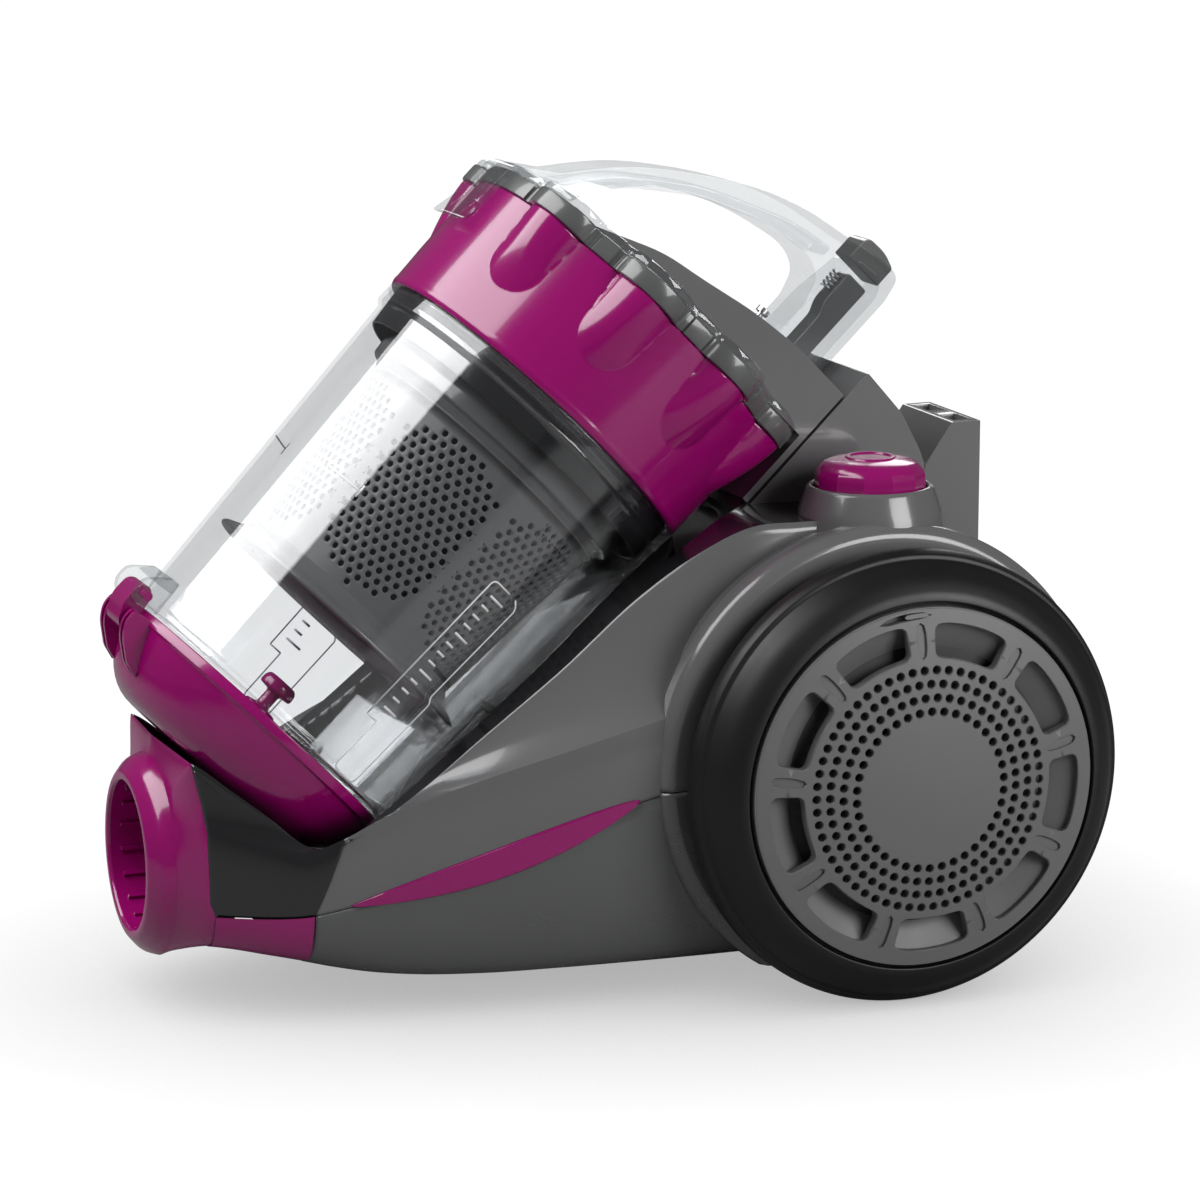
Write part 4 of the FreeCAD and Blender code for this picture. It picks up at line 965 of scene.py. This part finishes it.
cup_piece("lid_ring_skin", [sheet_grid(around_cup(ring_turn, ring_radius, ring_s), wrap_rows=True)],
          MAGENTA, "magenta", stands_for=("lid_ring",), angle=45)


# %% Grey rim and clear cover
RIM_R, RIM_RISE = 85.0, 9.4


def lobed(turn):
    """Radius of the rim: it swells by RIM_RISE over each grip and steps in a little beside it."""
    gap = np.abs(off_grip(turn))
    swell = RIM_RISE * np.maximum(1 - (gap / 11.6) ** 2.2, 0) ** 0.75
    step = np.where((gap > 12.5) & (gap < 15.0), 1.3, 0.0)
    return RIM_R + swell - step


def lobed_ring(rows, turn):
    """Closed ring whose rows are (inset from the lobed outline, or a plain radius when negative, s)."""
    outline = lobed(turn)
    radius = [np.where(inset >= 0, outline - inset, -inset) for inset, _ in rows]
    points = [around_cup(turn, r, s) for r, (_, s) in zip(radius, rows)]
    return sheet_grid(np.concatenate(points, 1), wrap_rows=True)


rim_rows = (
    (0.9, 237.2), (0.2, 237.5), (0.0, 238.2), (0.0, 244.6), (0.25, 245.5), (1.0, 246.0), (-60.0, 246.0),
    (-60.0, 237.2), (0.9, 237.2))
cup_piece("lid_rim_skin", [lobed_ring(rim_rows, ring_turn)], GREY_LOWER, "grey", stands_for=("lid_rim",),
          angle=35)
cover_rows = (
    (1.6, 246.1), (0.7, 246.5), (0.6, 247.4), (0.9, 248.9), (2.0, 249.8), (4.0, 250.0), (-0.01, 250.0))
lip_outline = rounded([
    (76, 246.4, 0.5), (85.2, 246.4, 1), (85.2, 226, 2), (87.2, 216.5, 2), (90.4, 212.8, 1.0),
    (91.2, 213.8, 0.8), (88.6, 225, 4), (87.8, 246, 3), (84, 249.8, 2), (76, 249.8, 0.5)], closed=True)
cup_piece("lid_cover_skin", [lobed_ring(cover_rows, ring_turn)], CLEAR_THICK, "clear",
          stands_for=("lid_cover",), angle=35)
cup_piece("clip_lip", [prism(lip_outline, 15.0)], CLEAR_THICK, "clear", bevel=1.2)
badge = rounded([(0.01, 1.6, 0), (4.6, 1.5, 0.5), (5.6, 0.4, 0.5), (5.6, -1.5, 0)])


def on_front(points):
    """Lays a turned badge on the front of the ring, its axis pointing out."""
    return on_cup(np.stack([83.6 + points[..., 2], points[..., 0] * 1.5, 222.0 + points[..., 1]], -1))


piece("clip_badge", [lathe(badge, 48)], "dust_cup", MAGENTA, "magenta", place=on_front)

# %% [markdown]
# ## Hood, housing and handle
# The lid's outlet is a grey wedge, and the body's intake behind it carries its lines on across a black gap.
# The handle is a clear arch. Its outline is drawn once as a smooth curve, and its rear leg is a hollow box
# that shows the grey release lever inside.

# %% Hood and intake housing
hood = rounded([
    (49, 250.2, 0.3), (18, 263.5, 14), (-1, 267, 8), (-32, 274, 10), (-58, 277, 4), (-89.6, 277, 0.5),
    (-89.6, 212.5, 0.5), (-86.6, 212.5, 0.5), (-86.6, 250.2, 0.3)], closed=True)
cup_piece("hood_skin", [prism(hood, 39.8)], GREY, "grey", stands_for=("outlet_duct",), bevel=1.6)
TOP_X, TOP_Z = (on_cup(np.array([-90.6, 0, 291.5]))[k] for k in (0, 2))
LOW_X, LOW_Z = (on_cup(np.array([-90.6, 0, 208.0]))[k] for k in (0, 2))
housing = rounded([
    (LOW_X, LOW_Z, 0.5), (TOP_X, TOP_Z, 1.0), (-144, 244, 2), (-154, 225, 6), (-158.5, 204, 2),
    (-158.5, 198, 0.5), (-90, 198, 0.5)], closed=True)
piece("intake_housing_skin", [prism(housing, 40.8)], "chassis", GREY, "grey",
      stands_for=("intake_housing",), bevel=1.6)

# %% Handle
outer_line = [
    (82, 250.3), (69, 259), (59.5, 270.5), (48, 283), (34.5, 294), (15, 307.5), (-7, 320), (-28.5, 327.8),
    (-57, 333.3), (-72, 337.2), (-82, 336.6), (-84.6, 324), (-84.4, 277.2)]
inner_line = [
    (-56.8, 277.2), (-56.6, 298), (-53, 309.5), (-45, 313.5), (-36, 313.6), (-12, 308), (6.5, 300.5),
    (23.5, 292), (38, 281), (46.5, 271.5), (55, 259), (58, 250.3)]
# The long bends are wide arcs; the corners at both feet and at the grip's rear are tight.
arch = rounded([(q, s, 9.0 if 1 < k < 11 or 14 < k < 23 else 1.5)
                for k, (q, s) in enumerate(outer_line + inner_line)], 7, closed=True)
cup_piece("handle_arch", [prism(arch, 14.9)], CLEAR_THICK, "clear", stands_for=("handle",), bevel=2.6)
leg = rounded([
    (-81.8, 277.6, 0.5), (-81.8, 324, 4), (-77, 331.5, 3), (-63, 329.5, 3), (-59, 303, 3),
    (-59, 277.6, 0.5)], closed=True)
cup_piece("handle_hollow", [prism(leg, 11.8)], CLEAR, "clear", bevel=1.0)
groove = rounded([
    (66, 256.5, 2), (46, 279.5, 9), (14, 302.5, 12), (-28, 320.5, 12), (-50, 324.5, 2), (-50, 318.5, 2),
    (-28, 315.5, 12), (12, 298, 12), (42, 275.5, 9), (60, 254, 2)], 7, closed=True)
cup_piece("handle_channel", [prism(groove, 10.5)], CLEAR, "clear", bevel=1.0)
thumb = rounded([
    (-79.8, 328, 0.5), (-79.8, 338.4, 1.5), (-72, 341.2, 4), (-62, 340.6, 2), (-60.3, 338.2, 1),
    (-60.3, 328, 0.5)], closed=True)
cup_piece("release_slider", [prism(thumb, 8.4)], GREY_LOWER, "grey", body="release",
          stands_for=("release_button",), bevel=1.2)
lever = rounded([
    (-78.6, 262.5, 0.8), (-69.4, 262.5, 0.8), (-69.4, 300, 2), (-66.5, 306, 3), (-66.5, 323.4, 1.5),
    (-78.6, 323.4, 1.5)], closed=True)
cup_piece("release_lever_skin", [prism(lever, 6.0)], GREY_LOWER, "inner", body="release",
          stands_for=("release_lever",), bevel=0.8)

# %% [markdown]
# ## Buttons and parking block
# Each foot button is a twelve-sided magenta cap with a domed top and a raised ring, in a grey cone. Its
# sides are flat facets, so it is turned in twelve steps, and the sharp-edge angle keeps them crisp.

# %% Buttons
BUTTON_X, BUTTON_Y = -113.0, 76.0
cap_profile = rounded([
    (0.01, 232.6, 0), (13, 232.2, 4), (20.5, 230.6, 3), (23.9, 227.0, 2.5), (24.3, 222, 2),
    (24.3, 213.6, 0.6), (21.5, 213.6, 0.3), (21.5, 216, 0)])
symbol_profile = rounded([(8.6, 232.2, 0), (9.1, 232.95, 0.3), (10.7, 232.95, 0.3), (11.3, 232.0, 0)], 4)
bezel_profile = rounded([
    (24.8, 201, 0), (24.8, 219.4, 0.8), (25.9, 220.7, 0.8), (27.8, 219.8, 1), (31.4, 209.6, 2),
    (32.9, 200.5, 0)])
for side, label, name in ((1, "left", "power_button"), (-1, "right", "rewind_button")):
    spot = standing(BUTTON_X, side * BUTTON_Y)
    piece(f"{name}_cap", [lathe(cap_profile, 12), lathe(symbol_profile, 48)], name, MAGENTA, "magenta",
          stands_for=(name,), place=spot, angle=24, bevel=0.5)
    piece(f"{label}_button_cone", [lathe(bezel_profile, 96)], "chassis", GREY, "grey",
          stands_for=(f"button_bezel_{label}",), place=spot, angle=40)

# %% Parking block
SLOT_FLOOR, SLOT_TOP = 209.0, 241.5
block_side = rounded([
    (-189, 180, 0.2), (-189, 236.2, 0.8), (-175, 236, 0.8), (-162, 217.5, 0.5),
    (-162, 180, 0.2)], closed=True)
slot_walls = []
for y in (14.0, -14.0):
    slot = rounded([
        (-186, y - 7.6, 1.0), (-178, y - 7.6, 1.0), (-178, y + 7.6, 1.0),
        (-186, y + 7.6, 1.0)], closed=True)
    slot_walls.append(between(*(np.insert(slot, 2, z, axis=1) for z in (SLOT_FLOOR, SLOT_TOP))))
cutter = piece("parking_slots", slot_walls, "chassis", INNER, "inner")
parking = piece("parking_block_skin", [prism(block_side, 26.8)], "chassis", GREY, "grey",
                stands_for=("parking_block",))
cut = parking.modifiers.new("slots", "BOOLEAN")
cut.operation = "DIFFERENCE"
cut.object = cutter
cut.solver = "EXACT"
evaluated = parking.evaluated_get(bpy.context.evaluated_depsgraph_get())
parking_mesh = bpy.data.meshes.new_from_object(evaluated)
parking.modifiers.clear()
parking.data = parking_mesh
edge = parking.modifiers.new("edge", "BEVEL")
edge.width = 1.2 * MM
edge.segments = 3
edge.limit_method = "ANGLE"
edge.angle_limit = np.radians(35)
bpy.data.objects.remove(cutter)
print("parking block:", len(parking.data.polygons), "faces")

# %% [markdown]
# ## CAD nodes that stay
# Axles, seals, screws, filters, motor and reel keep their CAD shape and only take a finish. The record says
# which material slot each node belongs to, and a table here says which finish that slot wears.

# %% Finishes of the CAD nodes
SLOT_FINISH = {"grey": GREY, "dark": DARK, "magenta": MAGENTA, "clear": CLEAR, "satin_grey": SATIN,
               "tyre": RUBBER, "seal": RUBBER, "inner": INNER, "foam": FOAM, "steel": STEEL,
               "copper_iron": COIL}
slot_of = {row["node"]: row["material_slot"] for row in frame["record"]["subparts"]}
for name, cad in nodes.items():
    finish = SLOT_FINISH[slot_of[name]]
    if len(cad.material_slots) == 0:
        cad.data.materials.append(finish)
    for place_in_list in cad.material_slots:
        place_in_list.material = finish
    cad.data.shade_smooth()
    cad.data.set_sharp_from_angle(angle=np.radians(30))
print("finished nodes:", len(nodes))
